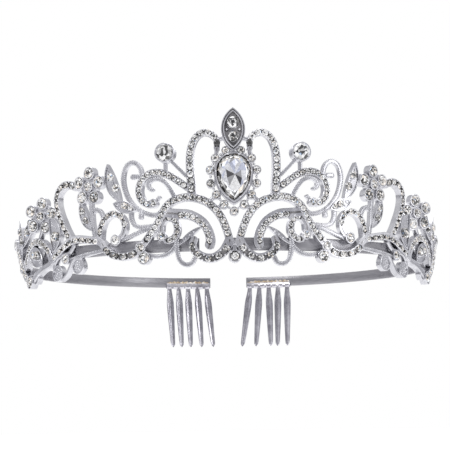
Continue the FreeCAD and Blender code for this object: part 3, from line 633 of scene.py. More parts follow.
HALO_PLACES = [(side * across, height) for side in (1, -1) for across, height in HALO_SEATS]
HALO_PLACES.append(HALO_BOTTOM)
HALO_CUP = 1.35
HALO_STONE = 1.0
PEAR_MIDDLE = 19.4
PEAR_WIDTH = 10.0
PEAR_LENGTH = 14.0
COLLET_WALL = 0.45
MARQUISE_MIDDLE = 33.9
MARQUISE_REACH = 6.6
MARQUISE_HALF = 3.6
MARQUISE_STONES = [(0, 35.9, 1.7), (0, 31.7, 1.5)]

HEAVY_LOOP = Rail([(42.9, 2.6), (42.7, 4.6), (42.2, 6.6), (41.0, 8.6), (39.2, 9.8), (37.2, 10.1),
                   (35.3, 9.2), (34.1, 7.5), (33.9, 5.5), (34.6, 3.6), (35.8, 2.6)], RAIL, 1.5)
LOW_ARC = Rail([(41.6, 1.1), (40.9, -0.3), (39.6, -1.5), (37.5, -2.6), (34.5, -3.1),
                (31.5, -2.7), (29.2, -1.3)], RAIL)
WAVE = Rail([(64.4, -2.2), (62.3, -0.8), (60.0, 0.5), (57.5, 1.9), (54.8, 3.0), (51.8, 3.4),
             (48.8, 3.1), (45.8, 2.6), (43.2, 2.1), (41.6, 1.0)], 2.6, 2.4, 0.25)
SIDE_LOOP = Rail([(52.4, 19.6), (53.9, 20.3), (55.8, 20.8), (58.0, 20.7), (60.2, 19.6),
                  (61.5, 17.5), (61.4, 14.8), (60.3, 11.8), (58.7, 9.0), (57.0, 6.3),
                  (55.0, 3.6)], 2.4)
FLOWER_STEM = Rail([(46.8, 16.0), (46.2, 11.0), (45.9, 8.0), (45.4, 5.5), (44.9, 3.4)], 1.3)
SIDE_BALLS = [(36.9, 2.0, 1.75), (28.6, -0.7, 1.7), (27.4, -3.9, 2.0), (56.8, -2.3, 1.7)]
CURL_DISC = (51.6, -4.9, 2.5)
OUTER_CURL_DISC = (61.2, -6.5, 2.6)
FLOWER = (46.9, 19.2)
FLOWER_TURN = 93.0
END_FLOWER = (70.7, 12.4)
END_FLOWER_TURN = 98.0
END_FLOWER_TILT = 27.0
FLOWER_RADIUS = 4.1
PETAL_RADIUS = 2.05
LEAF_STONES = [(38.9, 21.4, 1.15), (37.0, 17.9, 1.15), (49.8, 11.9, 1.05), (48.6, 9.0, 1.0),
               (34.0, 12.3, 1.0), (31.9, 11.5, 0.8)]
SIDE_LEAVES = [((40.1, 25.6), (41.0, 20.4), (35.2, 13.4), (37.6, 21.2)),
               ((50.6, 15.4), (51.0, 10.4), (45.6, 5.4), (48.0, 11.2)),
               ((38.0, 13.3), (34.3, 13.9), (30.2, 10.6), (34.6, 10.2))]
RIBBONS = [Rail([(49.6, -5.6), (50.6, -2.9), (53.6, -2.6), (55.6, -5.0), (57.2, -7.3),
                 (59.6, -8.4)], STEM, 1.4),
           Rail([(63.4, -5.4), (63.2, -3.4), (61.4, -1.6), (58.6, -1.0), (55.8, -0.5),
                 (53.8, 1.6)], 1.6)]

END_ARCH = Rail([(64.6, -1.8), (66.2, 0.9), (69.0, 3.2), (72.4, 4.5), (76.0, 4.4), (79.2, 2.8),
                 (81.4, 0.2), (82.2, -2.8)], RAIL)
END_SCROLL = Rail([(77.2, -7.6), (79.8, -7.3), (82.6, -5.8), (85.8, -3.0), (88.8, 0.2),
                   (91.6, 3.2), (94.4, 5.6)], 2.7)
END_FOOT = Rail([(63.6, -2.6), (66.6, -3.6), (70.0, -4.4), (73.4, -5.8), (76.8, -7.8)], RAIL)
END_STEM = Rail([(70.4, 9.6), (71.6, 7.0), (73.4, 4.4)], 1.4)
END_LEAVES = [((66.4, 11.4), (65.2, 4.6), (64.0, 0.2), (59.8, 6.0)),
              ((90.6, 13.6), (92.2, 7.0), (87.6, -2.6), (86.8, 7.0)),
              ((74.0, 12.6), (81.2, 11.4), (87.8, 3.4), (79.4, 6.8)),
              ((69.6, -3.4), (72.2, 2.0), (80.2, 1.2), (76.2, -2.8))]
END_HEEL = (74.4, -7.0, 2.0)
END_BALL = (95.2, 5.8, 1.9)
END_DROP = (78.0, -8.0, 2.2)
CUP_BALL = (62.6, 5.2, 1.5)
END_STONES = [(89.4, 9.6, 1.3), (87.4, 6.2, 1.2), (82.4, 8.6, 1.2), (79.4, 11.4, 1.1),
              (73.6, 0.4, 1.3), (76.6, 0.6, 1.2)]

HOOK_WIRES = [Rail([(28.2, 20.6), (28.4, 22.0), (28.9, 23.6), (30.2, 25.0), (31.8, 25.3),
                    (33.5, 24.3), (34.4, 22.3), (34.6, 20.0), (34.0, 17.0), (32.8, 14.4),
                    (30.9, 12.1), (28.5, 10.3), (26.0, 9.2), (23.8, 8.9), (22.4, 9.6)], 1.3),
              Rail([(29.6, 20.9), (31.4, 20.9)], WIRE, 1.5),
              Rail([(28.6, 10.2), (28.7, 8.4)], STEM, 1.3)]
CURL_WIRES = [Rail([(17.9, 14.0), (19.3, 16.6), (21.2, 18.9), (23.3, 19.8), (25.2, 19.5),
                    (26.2, 18.4), (25.9, 17.1), (24.9, 16.6)], WIRE),
              Rail([(24.0, 12.6), (22.6, 14.2)], STEM)]
VINE_WIRES = [Rail([(31.9, 11.0), (31.9, 8.4), (30.9, 6.4), (29.2, 5.6), (27.0, 5.5),
                    (24.4, 5.7)], WIRE),
              Rail([(35.0, 2.1), (32.5, 2.8), (29.8, 3.8), (27.2, 4.7), (25.0, 4.9)], WIRE),
              Rail([(45.8, 11.2), (44.5, 12.0), (43.1, 11.3), (42.1, 9.8), (41.6, 8.4)], WIRE)]
LOWER_WIRES = [Rail([(17.3, 1.0), (17.2, -2.6), (16.4, -5.0), (14.7, -6.3), (12.9, -6.0),
                     (11.9, -4.4)], 1.3),
               Rail([(27.4, -2.4), (24.6, -3.4), (22.0, -3.5), (19.8, -2.7), (18.1, -1.2),
                     (17.3, 0.4)], WIRE),
               Rail([(55.0, -2.8), (52.0, -2.1), (48.0, -1.5), (44.5, -1.1), (41.0, -0.6)],
                    WIRE)]


def pear_outline(margin, count=10):
    """The centre stone's outline, drawn out by a margin, anticlockwise from its right shoulder."""
    half = PEAR_WIDTH / 2 + margin
    top = PEAR_MIDDLE + PEAR_LENGTH / 2 + margin
    low = PEAR_MIDDLE - PEAR_LENGTH / 2 - 1.2 * margin
    shoulder = top - half
    waist = low + 0.34 * (shoulder - low)
    flank = 0.66 * half
    crown = arc_points((half, shoulder), (0, top), (-half, shoulder), 2 * count)
    left = arc_points((-half, shoulder), (-flank, waist), (0, low), count)
    right = arc_points((0, low), (flank, waist), (half, shoulder), count)
    return crown[:-1] + left[:-1] + right[:-1]


def marquise_outline(inset=0.0):
    """The pointed oval at the top, drawn in by an inset."""
    reach = MARQUISE_REACH - 1.4 * inset
    half = MARQUISE_HALF - inset
    return leaf_outline((0, MARQUISE_MIDDLE + reach), (half, MARQUISE_MIDDLE),
                        (0, MARQUISE_MIDDLE - reach), (-half, MARQUISE_MIDDLE), 14)


def petal_places(centre, turn):
    """Places of the five petals around a flower's heart."""
    found = []
    for index in range(5):
        angle = math.radians(turn + 72 * index)
        found.append((centre[0] + FLOWER_RADIUS * math.cos(angle),
                      centre[1] + FLOWER_RADIUS * math.sin(angle)))
    return found


def stone_row(rail, radius, gap=0.15, from_start=0.0, from_end=0.0):
    """Places of the stones along a scroll."""
    found = []
    for distance in rail.seats(radius, gap, from_start, from_end):
        spot = rail.place(distance, rail.aside)
        found.append((spot.x, spot.y, radius))
    return found


# The rows of stones: scroll, radius, gap, and how far from its two ends the stones keep.
PETAL_ROW = (PETAL, 0.95, 0.15, 0.7, 0.6)
ARC_ROW = (MAIN_ARC, 0.9, 0.15, 2.0, 1.7)
BOTTOM_ROW = (BOTTOM_ARC, 1.0, 0.5, 1.2, 1.0)
SCROLL_ROW = (UPPER_SCROLL, 0.8, 0.15, 0.9, 1.2)
INNER_ROW = (INNER_SCROLL, 0.8, 0.15, 3.0, 0.5)
RING_ROW = (RING_SCROLL, 0.7, 0.15, 4.4, 0.5)
LOOP_ROW = (HEAVY_LOOP, 0.9, 0.7, 1.6, 4.0)
LOW_ROW = (LOW_ARC, 0.95, 0.6, 1.6, 1.4)
SIDE_ROW = (SIDE_LOOP, 0.95, 0.9, 1.0, 1.2)
WAVE_ROW = (WAVE, 0.9, 0.8, 1.0, 2.2)
ARCH_ROW = (END_ARCH, 0.9, 0.5, 2.6, 0.6)
END_ROW = (END_SCROLL, 1.1, 0.3, 2.2, 2.4)


def scroll(piece, row, rise=0.0):
    """A channel with the bead prongs of its row of stones."""
    rail, size, gap, from_start, from_end = row
    piece.channel(rail, max(from_start - 0.2, 0), max(from_end - 0.2, 0), CREST + rise)
    piece.prongs(rail, rail.seats(size, gap, from_start, from_end), CREST + rise)


# ---------------------------------------------------------------- castings, wires and settings

def centre_half(piece):
    for index, row in enumerate((PETAL_ROW, SCROLL_ROW, RING_ROW, INNER_ROW, BOTTOM_ROW,
                                 ARC_ROW)):
        scroll(piece, row, 0.02 * index)
    across, height, radius = TALL_STONE
    upright = Rail([(across + 0.3, 21.9), (across + 0.3, height - radius + 0.3)], STEM)
    slanting = Rail([(14.4, 20.4), (19.3, 25.4)], STEM)
    piece.bar(upright, crest=FRONT - 0.1)
    piece.milgrain(slanting, crest=FRONT - 0.2, size=0.22)
    for points in ([(4.9, 28.6), (5.1, 26.6), (5.3, 25.4)], [(3.2, 11.3), (5.4, 10.1)],
                   [(5.4, 14.1), (7.6, 12.2)], [(4.6, 31.0), (3.0, 31.4)]):
        piece.bar(Rail(points, STEM + 0.2), crest=FRONT + 0.05)
    petal = leaf_outline((9.6, 5.0), (13.2, 3.6), (16.8, -0.6), (13.6, 1.4))
    piece.plate(petal, crest=FRONT + 0.02, slot=0, floor=FRONT - 0.3)
    for across, height, size in ((12.1, 3.4, 0.42), (13.3, 2.5, 0.45), (14.5, 1.5, 0.4)):
        piece.bead(across, height, FRONT - 0.3, size)
    piece.cup(*RING_BALL, crest=CREST + 0.2, floor=FRONT)
    piece.cup(*SCROLL_BALL, crest=CREST + 0.2, floor=FRONT)


def centre_scrolls():
    piece = Piece("centre_scrolls", FRONT_METALS, seed=11)
    for side in (1, -1):
        piece.side = side
        centre_half(piece)
    piece.side = 1
    piece.bar(Rail([(-2.0, -0.2), (2.0, -0.2)], 2.2), crest=FRONT + 0.1)
    piece.bar(Rail([(0, -0.8), (0, -3.2)], 1.8), crest=FRONT + 0.05)
    return piece.finish("front", "centre_casting")


def side_scrolls(name, side):
    piece = Piece(name + "_side_scrolls", FRONT_METALS, side, 12)
    for index, row in enumerate((LOOP_ROW, LOW_ROW, WAVE_ROW, SIDE_ROW)):
        scroll(piece, row, 0.02 * index)
    piece.milgrain(FLOWER_STEM, crest=FRONT - 0.1, size=0.24)
    for index, corners in enumerate(SIDE_LEAVES):
        leaf(piece, corners, FRONT + 0.15 + 0.02 * index)
    for index, ribbon in enumerate(RIBBONS):
        piece.bar(ribbon, crest=FRONT - 0.05 * index)
    for ball in SIDE_BALLS:
        piece.cup(*ball, crest=CREST + 0.25, floor=FRONT)
    for across, height, size in (CURL_DISC, OUTER_CURL_DISC):
        piece.plate(circle(across, height, size), crest=FRONT + 0.1, floor=FRONT - 0.3, slot=0)
        pave(piece, across, height, size - 0.5)
    return piece.finish("front", name + "_side_casting")


LEAF_GRAINS = 13
PAVE_GRAINS = 14
PAVE_TURN = 2.4


def leaf(piece, corners, crest):
    """A leaf-shaped dish with grains of metal down its middle."""
    piece.plate(leaf_outline(*corners), crest=crest, floor=crest - 0.4, rim=0.36, slot=0)
    tip, left, base, right = (Vector(corner) for corner in corners)
    for index in range(LEAF_GRAINS):
        share = 0.12 + 0.06 * index
        spot = tip.lerp(base, share)
        bend = ((left + right) / 2 - (tip + base) / 2) * 4 * share * (1 - share)
        wide = (left - right).length * 0.22 * math.sin(math.pi * share)
        shift = (left - right).normalized() * piece.random.uniform(-wide, wide)
        spot = spot + bend + shift
        piece.bead(spot.x, spot.y, crest - 0.42, piece.random.uniform(0.25, 0.36))


def pave(piece, across, height, reach):
    """Grains of metal scattered over a round recess."""
    for index in range(PAVE_GRAINS):
        turn = PAVE_TURN * index
        out = reach * math.sqrt((index + 0.5) / PAVE_GRAINS) * 0.9
        piece.bead(across + out * math.cos(turn), height + out * math.sin(turn), FRONT - 0.35,
                   piece.random.uniform(0.22, 0.36))


def end_spray(name, side):
    piece = Piece(name + "_end_spray", FRONT_METALS, side, 13)
    scroll(piece, ARCH_ROW, 0.02)
    scroll(piece, END_ROW, 0.04)
    piece.bar(END_FOOT, crest=CREST - 0.1, round_top=0.3)
    piece.bar(END_STEM, crest=FRONT - 0.1)
    for index, corners in enumerate(END_LEAVES):
        leaf(piece, corners, FRONT + 0.1 + 0.03 * index)
    piece.plate(circle(*END_HEEL), crest=FRONT + 0.1, floor=FRONT - 0.2, slot=0)
    for across, height, size in (END_BALL, END_DROP):
        piece.cup(across, height, size, crest=CREST + 0.3, floor=FRONT)
    return piece.finish("front", name + "_end_casting")


def flower(name, side, centre, turn, node, tilt=0):
    """Five round petals, each the cup of a stone, around a smaller cup."""
    piece = Piece(name, FRONT_METALS, side, 14)
    piece.tilt = tilt
    piece.pivot = centre[0]
    piece.plate(circle(*centre, FLOWER_RADIUS - 0.9), crest=FRONT, floor=FRONT - 0.1, slot=0)
    for across, height in petal_places(centre, turn):
        piece.cup(across, height, PETAL_RADIUS, crest=CREST + 0.35, floor=FRONT, claws=3)
    piece.cup(*centre, HEART_CUP, crest=CREST + 0.5, floor=FRONT, claws=5)
    return piece.finish("front", node)


def wires(name, side, node, rails):
    piece = Piece(name, FRONT_METALS, side, 15)
    for index, rail in enumerate(rails):
        piece.milgrain(rail, crest=WIRE_FRONT + 0.015 * index)
    return piece.finish("front", node)


def halo():
    """The ring of small cups around the centre stone, tied together by beads."""
    piece = Piece("halo", FRONT_METALS, seed=16)
    outer = pear_outline(1.0)
    inner = pear_outline(COLLET_WALL)
    piece.ring(outer, inner, BAND_OUTER, FRONT + 0.1)
    for across, height in HALO_PLACES:
        piece.cup(across, height, HALO_CUP, crest=FRONT + 0.35, floor=FRONT, claws=4, rim=0.28)
    for side in (1, -1):
        for (a, b), (c, d) in zip(HALO_SEATS, HALO_SEATS[1:] + [HALO_BOTTOM]):
            piece.bead(side * (a + c) / 2, (b + d) / 2, FRONT, 0.42)
    return piece.finish("front", "halo_casting")


def pear_setting():
    """The wall around the centre stone, with claws over the stone's edge."""
    piece = Piece("pear_setting", FRONT_METALS, seed=17)
    outline = pear_outline(COLLET_WALL)
    piece.plate(outline, crest=SETTING_FRONT, floor=FRONT, rim=COLLET_WALL)
    for index in range(0, len(outline), 4):
        spot = outline[index].lerp(Vector((0, PEAR_MIDDLE)), 0.05)
        piece.bead(spot.x, spot.y, SETTING_FRONT - 0.12, 0.33)
    return piece.finish("front", "pear_collet")


def marquise():
    """The pointed top: a double polished rim with painted highlight around a recess with painted
    shade, with two cups in it.
    """
    piece = Piece("marquise", FRONT_METALS, seed=18)
    piece.plate(marquise_outline(), crest=FRONT + 0.9, floor=FRONT + 0.1, rim=0.40)
    piece.plate(marquise_outline(0.62), crest=SETTING_FRONT, floor=FRONT + 0.15, rim=0.40,
                back=FRONT)
    for across, height, size in MARQUISE_STONES:
        piece.ring(circle(across, height, size + 0.22), circle(across, height, size - 0.08), FRONT,
                   FRONT + 1.0)
    for across in (-1.9, 1.9):
        piece.bead(across, MARQUISE_MIDDLE - 0.1, FRONT + 0.6, 0.5)
    return piece.finish("front", "marquise_collet")


def round_setting(name, side, seed, node, place, claws, rim):
    """A round cup of its own, around one larger stone."""
    piece = Piece(name, FRONT_METALS, side, seed)
    piece.cup(*place, floor=FRONT, claws=claws, rim=rim)
    return piece.finish("front", node)


# ---------------------------------------------------------------- stones

# How much narrower a stone is than the cup around it, and the stones that are sized on their own.
CUP_RIM = 0.6
PETAL_RIM = 0.55
BALL_RIM = 0.45
HEART_CUP = 1.75
HEART_STONE = 1.3
SCROLL_BALL_STONE = (*SCROLL_BALL[:2], 1.05)
RING_BALL_STONE = (*RING_BALL[:2], 1.1)
END_BALL_STONE = (*END_BALL[:2], 1.35)
END_DROP_STONE = (*END_DROP[:2], 1.5)
STONE_BASE = FRONT - 0.25
# UNLIT darkens the last stone of each petal scroll almost to black: painted shade.
UNLIT = -0.9


def flower_stones(centre, turn):
    """Places of a flower's six stones."""
    petals = [(*place, PETAL_RADIUS - PETAL_RIM) for place in petal_places(centre, turn)]
    return petals + [(*centre, HEART_STONE)]


def stones(name, side, node, places, base=STONE_BASE, bias=-0.16, warm=0.22, seed=30, tilt=0):
    piece = Piece(name, [CRYSTAL], side, seed + (side < 0))
    piece.tilt = tilt
    piece.pivot = END_FLOWER[0]
    for index, (across, height, size) in enumerate(places):
        unlit = node.endswith("petal_stones") and index == len(places) - 1
        piece.stone(across, height, size, base, UNLIT if unlit else bias, warm)
    return piece.finish("front", node, sharp=180)


def halo_stones():
    places = [(*place, HALO_STONE) for place in HALO_PLACES]
    return stones("halo_row", 1, "halo_stones", places, base=FRONT, bias=-0.05)


def side_stones(name, side):
    """All the stones of one half of the tiara, each row as its own piece."""
    # The left half's stones are a little darker and the right half's petal stones brighter: painted
    # shade and painted light on one side.
    shade = 0.0 if side > 0 else -0.03
    balls = [(*ball[:2], ball[2] - BALL_RIM) for ball in SIDE_BALLS]
    rows = [
        ("petal", stone_row(*PETAL_ROW), 0.12 if side > 0 else 0.0, 0.05),
        ("arc", stone_row(*ARC_ROW), 0.0, 0.1),
        ("scroll", stone_row(*SCROLL_ROW) + [SCROLL_BALL_STONE], 0.0, 0.1),
        ("inner", stone_row(*INNER_ROW) + stone_row(*RING_ROW) + [RING_BALL_STONE], 0.05, 0.1),
        ("loop", stone_row(*LOOP_ROW) + stone_row(*LOW_ROW), -0.03, 0.3),
        ("side", stone_row(*SIDE_ROW) + stone_row(*WAVE_ROW), -0.03, 0.35),
        ("ball", balls, -0.03, 0.2),
        ("leaf", LEAF_STONES, -0.05, 0.25),
        ("flower", flower_stones(FLOWER, FLOWER_TURN), -0.05, 0.3),
        ("end_flower", flower_stones(END_FLOWER, END_FLOWER_TURN), -0.05, 0.3),
        ("end", stone_row(*ARCH_ROW) + stone_row(*END_ROW)
         + [END_BALL_STONE, END_DROP_STONE, CUP_BALL] + END_STONES, -0.03, 0.3),
    ]
    for index, (kind, places, bias, warm) in enumerate(rows):
        base = FRONT if kind in ("ball", "flower", "end_flower") else STONE_BASE
        tilt = END_FLOWER_TILT if kind == "end_flower" else 0
        stones(f"{name}_{kind}_row", side, f"{name}_{kind}_stones", places, base, bias + shade,
               warm, 40 + 2 * index, tilt)
    # The left tall stone is much darker than the right one: painted shade.
    across, height, size = TALL_STONE
    stones(f"{name}_tall_brilliant", side, f"{name}_tall_stone", [(across, height, size - CUP_RIM)],
           FRONT + 0.02, 0.05 if side > 0 else -0.35, 0.0, 70)


# The centre stone's big facets, seen through its table: places from its middle and, for each, the
# tone of the facet between it, the next place and the culet: painted highlights, painted dark
# reflections and greys.
PEAR_BACK = FRONT + 0.1
PEAR_GIRDLE = FRONT + 1.0
PEAR_TABLE = FRONT + 3.0
CULET = (0.3, 0.6)
LIGHT = (0.92, 0.93, 0.96)
PALE_BLUE = (0.66, 0.70, 0.84)
GREY = (0.42, 0.42, 0.43)
DARK = (0.10, 0.095, 0.10)
WHITE = (1.0, 1.0, 1.0)
SHADOW = (0.05, 0.05, 0.06)
PEAR_STAR = [((2.0, 1.8), PALE_BLUE), ((1.9, 3.6), LIGHT), ((0.4, 5.0), PALE_BLUE),
             ((-1.4, 3.8), LIGHT), ((-2.3, 2.0), DARK), ((-2.0, -0.5), GREY),
             ((-1.3, -3.0), WHITE), ((0.1, -4.9), WHITE), ((1.8, -3.0), SHADOW),
             ((2.2, -0.6), GREY)]


def pear_stone():
    """A pear-shaped brilliant with a broad table, through which the facets meet at its culet."""
    piece = Piece("pear_brilliant", [PEAR], seed=93)
    outline = pear_outline(-0.1, 6)
    count = len(outline)
    middle = Vector((0, PEAR_MIDDLE + 0.4))
    levels = [(1.0, PEAR_BACK), (1.0, PEAR_GIRDLE), (0.88, PEAR_GIRDLE + 1.0), (0.74, PEAR_TABLE)]
    rings = []
    for scale, radius in levels:
        rings.append([piece.point(*(middle + (spot - middle) * scale), radius)
                      for spot in outline])
    for level, (lower, upper) in enumerate(zip(rings, rings[1:])):
        dark, bright = ((0.1, 0.4), (0.25, 0.5), (0.15, 0.55))[level]
        for index in range(0, count, 2):
            corners = [index, (index + 1) % count, (index + 2) % count]
            a, b, c = (lower[n] for n in corners)
            d, e, f = (upper[n] for n in corners)
            for facet in ([a, b, e], [a, e, d], [b, c, e], [c, f, e]):
                piece.face(facet, 0, piece.painted_sparkle(dark, bright, 0, 0.25), True)
    star = [piece.point(across, PEAR_MIDDLE + height, PEAR_TABLE - 0.12)
            for (across, height), tone in PEAR_STAR]
    culet = piece.point(CULET[0], PEAR_MIDDLE + CULET[1], PEAR_TABLE - 0.4)
    for index, (place, tone) in enumerate(PEAR_STAR):
        piece.face([star[index], star[(index + 1) % len(star)], culet], 0, tone, True)
    places = [Vector(place) + Vector((0, PEAR_MIDDLE)) for place, tone in PEAR_STAR]
    table = [middle + (spot - middle) * levels[-1][0] for spot in outline]
    join_loops(piece, (table, rings[-1]), (places, star), middle)
    piece.face(rings[0][::-1], 0, (0.2, 0.2, 0.2), True)
    return piece.finish("front", "pear_stone", sharp=180)


def join_loops(piece, outer, inner, middle):
    """Triangles between two loops of vertices around a middle, in order of their direction."""
    def direction(spot):
        return math.atan2(spot.y - middle.y, spot.x - middle.x) % (2 * math.pi)

    loops = []
    for places, numbers in (outer, inner):
        loops.append(sorted((direction(spot), number) for spot, number in zip(places, numbers)))
    wide, narrow = loops
    at, on = 0, 0
    while at < len(wide) or on < len(narrow):
        first = wide[at % len(wide)][1]
        second = narrow[on % len(narrow)][1]
        next_wide = wide[(at + 1) % len(wide)][0] + 2 * math.pi * (at + 1 >= len(wide))
        next_narrow = narrow[(on + 1) % len(narrow)][0] + 2 * math.pi * (on + 1 >= len(narrow))
        if on >= len(narrow) or (at < len(wide) and next_wide <= next_narrow):
            corners = [first, wide[(at + 1) % len(wide)][1], second]
            at += 1
        else:
            corners = [first, narrow[(on + 1) % len(narrow)][1], second]
            on += 1
        # Each triangle gets a painted reflection, grey, pale blue or light, by chance.
        chance = piece.random.random()
        tone = GREY if chance < 0.14 else PALE_BLUE if chance < 0.5 else LIGHT
        piece.face(corners, 0, tone, True)


# ---------------------------------------------------------------- head band, combs and solder

def band_strip(name, side, start_angle, end_angle, material):
    """One strip of the head band, from its start at the front to the end of its arm."""
    piece = Piece(name, [material], side, 100)
    inner, outer, half, edge = BAND_INNER, BAND_OUTER, BAND_HALF, BAND_EDGE
    corners = [(inner, -half + edge), (inner + 0.3 * edge, -half + 0.3 * edge), (inner + edge, -half),
               (outer - edge, -half), (outer - 0.3 * edge, -half + 0.3 * edge), (outer, -half + edge),
               (outer, half - edge), (outer - 0.3 * edge, half - 0.3 * edge), (outer - edge, half),
               (inner + edge, half), (inner + 0.3 * edge, half - 0.3 * edge), (inner, half - edge)]
    steps = 220
    rings = []
    for index in range(steps + 1):
        angle = math.radians(start_angle + (end_angle - start_angle) * index / steps)
        rings.append([piece.point(angle * FRONT, height - LIFT, radius)
                      for radius, height in corners])
    piece.tube(rings, [0] * len(corners))
    return piece


def add_band():
    strips = (("left", -1, LEFT_STRIP_START, LEFT_END_ANGLE),
              ("right", 1, RIGHT_STRIP_START, RIGHT_END_ANGLE))
    for name, side, start_angle, end_angle in strips:
        strip = band_strip(name + "_band", side, start_angle, end_angle, SATIN)
        shown = strip.mesh_object(38)
        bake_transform(shown)
        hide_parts(name + "_band_arm", name + "_front_band")


COMB_WIDTH = 18.4
COMB_LENGTH = 25.3
COMB_BASE = 2.2
COMB_INSET = 0.3
TOOTH_PITCH = 3.95
TOOTH_NECK = 1.7
TOOTH_BELLY = 2.9
TOOTH_TIP = 1.3
TOOTH_DISH = 0.28
SOLDER_SIZE = 0.5
BELLY_SHARE = 0.3
TIP_SHARE = 0.94
COMB_THICKNESS = 0.7
COMB_TOP = -0.6
LEFT_LEANS = [-2.5, -1.6, -1.0, -1.1, -1.4]
RIGHT_LEANS = [0.3, 0.6, -0.5, 1.8, 3.6]


def rear_point(piece, across, height, radius):
    """A vertex of the unrolled drawing, rolled round the back of the ring."""
    angle = across / FRONT
    piece.points.append((-radius * math.sin(angle) * MM, radius * math.cos(angle) * MM,
                         (height + LIFT) * MM))
    return len(piece.points) - 1


def comb(name, end_angle, sign, leans):
    """A stamped comb: a base strip, and five teeth that are hollowed down their middles."""
    piece = Piece(name + "_hair_comb", [COMB], seed=110)
    edge = math.radians(180 - end_angle) * FRONT
    middle = sign * (edge + COMB_WIDTH / 2 + COMB_INSET)
    inner, back = BAND_INNER, BAND_INNER - COMB_THICKNESS
    low = COMB_TOP - COMB_BASE
    half = COMB_WIDTH / 2
    rings = []
    for index in range(41):
        across = middle + half * (index / 20 - 1)
        swell = 0.12 * math.cos(math.pi * index * 0.35)
        section = [(back, low + 0.15), (back, COMB_TOP - 0.15), (back + 0.15, COMB_TOP),
                   (inner - 0.02, COMB_TOP), (inner - 0.02, low + swell), (back + 0.15, low + swell)]
        rings.append([rear_point(piece, across, height, radius) for radius, height in section])
    piece.tube(rings, [0] * 6)
    for index, lean in enumerate(leans):
        root = middle + (index - 2) * TOOTH_PITCH
        tooth(piece, root, lean, low + 0.7, COMB_TOP - COMB_LENGTH)
    return piece.finish(name + "_arm", name + "_comb", sharp=50)


def tooth(piece, root, lean, top, tip):
    """One tooth: narrow at its neck, widest a third of the way down, with a rounded tip."""
    inner, back = BAND_INNER - 0.03, BAND_INNER - COMB_THICKNESS
    stations = 26
    rings = []
    for step in range(stations + 1):
        share = step / stations
        height = top + (tip - top) * share
        across = root + lean * share ** 1.15
        if share < BELLY_SHARE:
            blend = math.sin(share / BELLY_SHARE * math.pi / 2) ** 2
            width = TOOTH_NECK + (TOOTH_BELLY - TOOTH_NECK) * blend
        else:
            fall = ((share - BELLY_SHARE) / (1 - BELLY_SHARE)) ** 1.3
            width = TOOTH_BELLY + (TOOTH_TIP + 0.3 - TOOTH_BELLY) * fall
        if share > TIP_SHARE:
            over = (share - TIP_SHARE) / (1 - TIP_SHARE)
            width *= math.sqrt(max(1 - over ** 2, 0.04))
        wide = width / 2
        dish = TOOTH_DISH * min(share * 6, 1)
        section = [(-wide, inner - 0.1), (-wide, back + 0.18), (-wide + 0.14, back),
                   (-0.55 * wide, back), (-0.25 * wide, back + dish),
                   (0.25 * wide, back + dish), (0.55 * wide, back),
                   (wide - 0.14 * min(1, wide), back), (wide, back + 0.18), (wide, inner - 0.1),
                   (wide - 0.12 * min(1, wide), inner), (-wide + 0.12 * min(1, wide), inner)]
        rings.append([rear_point(piece, across + sideways, height, radius)
                      for sideways, radius in section])
    piece.tube(rings, [0] * 12)


def solder_bead(name, end_angle, sign):
    """The lumpy bead of solder where the comb's base meets the band."""
    piece = Piece(name + "_solder", [SOLDER], seed=120 + sign)
    edge = math.radians(180 - end_angle) * FRONT
    middle = sign * (edge + COMB_WIDTH / 2 + COMB_INSET)
    half = COMB_WIDTH / 2 - 0.3
    rings = []
    stations = 70
    for index in range(stations + 1):
        across = middle + half * (2 * index / stations - 1)
        end = min(1, 8 * min(index, stations - index) / stations + 0.2)
        size = (SOLDER_SIZE + 0.16 * math.sin(0.9 * index) + piece.random.uniform(-0.06, 0.06)) * end
        centre = COMB_TOP + 0.15 + 0.1 * math.sin(0.37 * index)
        ring = []
        for corner in range(8):
            turn = math.pi * corner / 7
            lump = 1 + piece.random.uniform(-0.12, 0.12)
            ring.append(rear_point(piece, across, centre + size * 1.2 * lump * math.cos(turn),
                                   BAND_INNER - 0.02 - size * 0.95 * lump * math.sin(turn)))
        rings.append(ring)
    piece.tube(rings, [0] * 8)
    return piece.finish(name + "_arm", name + "_comb_solder", sharp=80)


# ---------------------------------------------------------------- light, floor and camera

CAMERA_DISTANCE = 464.0
CAMERA_AZIMUTH = -2.2
CAMERA_DIP = 5.4
CAMERA_ROLL = -0.85
CAMERA_LENS = 106.2
TARGET_HEIGHT = 14.3
FLOOR_HEIGHT = -0.075
FLOOR_WIDTH = 1.2


def add_camera():
    azimuth = math.radians(CAMERA_AZIMUTH)
    dip = math.radians(CAMERA_DIP)
    spot = Vector((math.sin(azimuth) * math.cos(dip), -math.cos(azimuth) * math.cos(dip),
                   -math.sin(dip))) * CAMERA_DISTANCE
    spot.z += LIFT
    target = Vector((0, 0, TARGET_HEIGHT + LIFT))
    data = bpy.data.cameras.new("camera")
    data.lens = CAMERA_LENS
    data.sensor_width = 36.0
    data.clip_start = 0.01
    data.clip_end = 20.0
    camera = bpy.data.objects.new("camera", data)
    camera.location = spot * MM
    aim = (target - spot).to_track_quat("-Z", "Y").to_matrix()
    roll = Matrix.Rotation(math.radians(CAMERA_ROLL), 3, "Z")
    camera.rotation_euler = (aim @ roll).to_euler()
    bpy.context.scene.collection.objects.link(camera)
    bpy.context.scene.camera = camera


def softbox(name, location, target, size, power):
    data = bpy.data.lights.new(name, "AREA")
    data.shape = "RECTANGLE"
    data.size, data.size_y = size
    data.energy = power
    lamp = bpy.data.objects.new(name, data)
    lamp.location = location
    lamp.rotation_euler = (Vector(target) - Vector(location)).to_track_quat("-Z", "Y").to_euler()
    lamp.visible_camera = False
    bpy.context.scene.collection.objects.link(lamp)


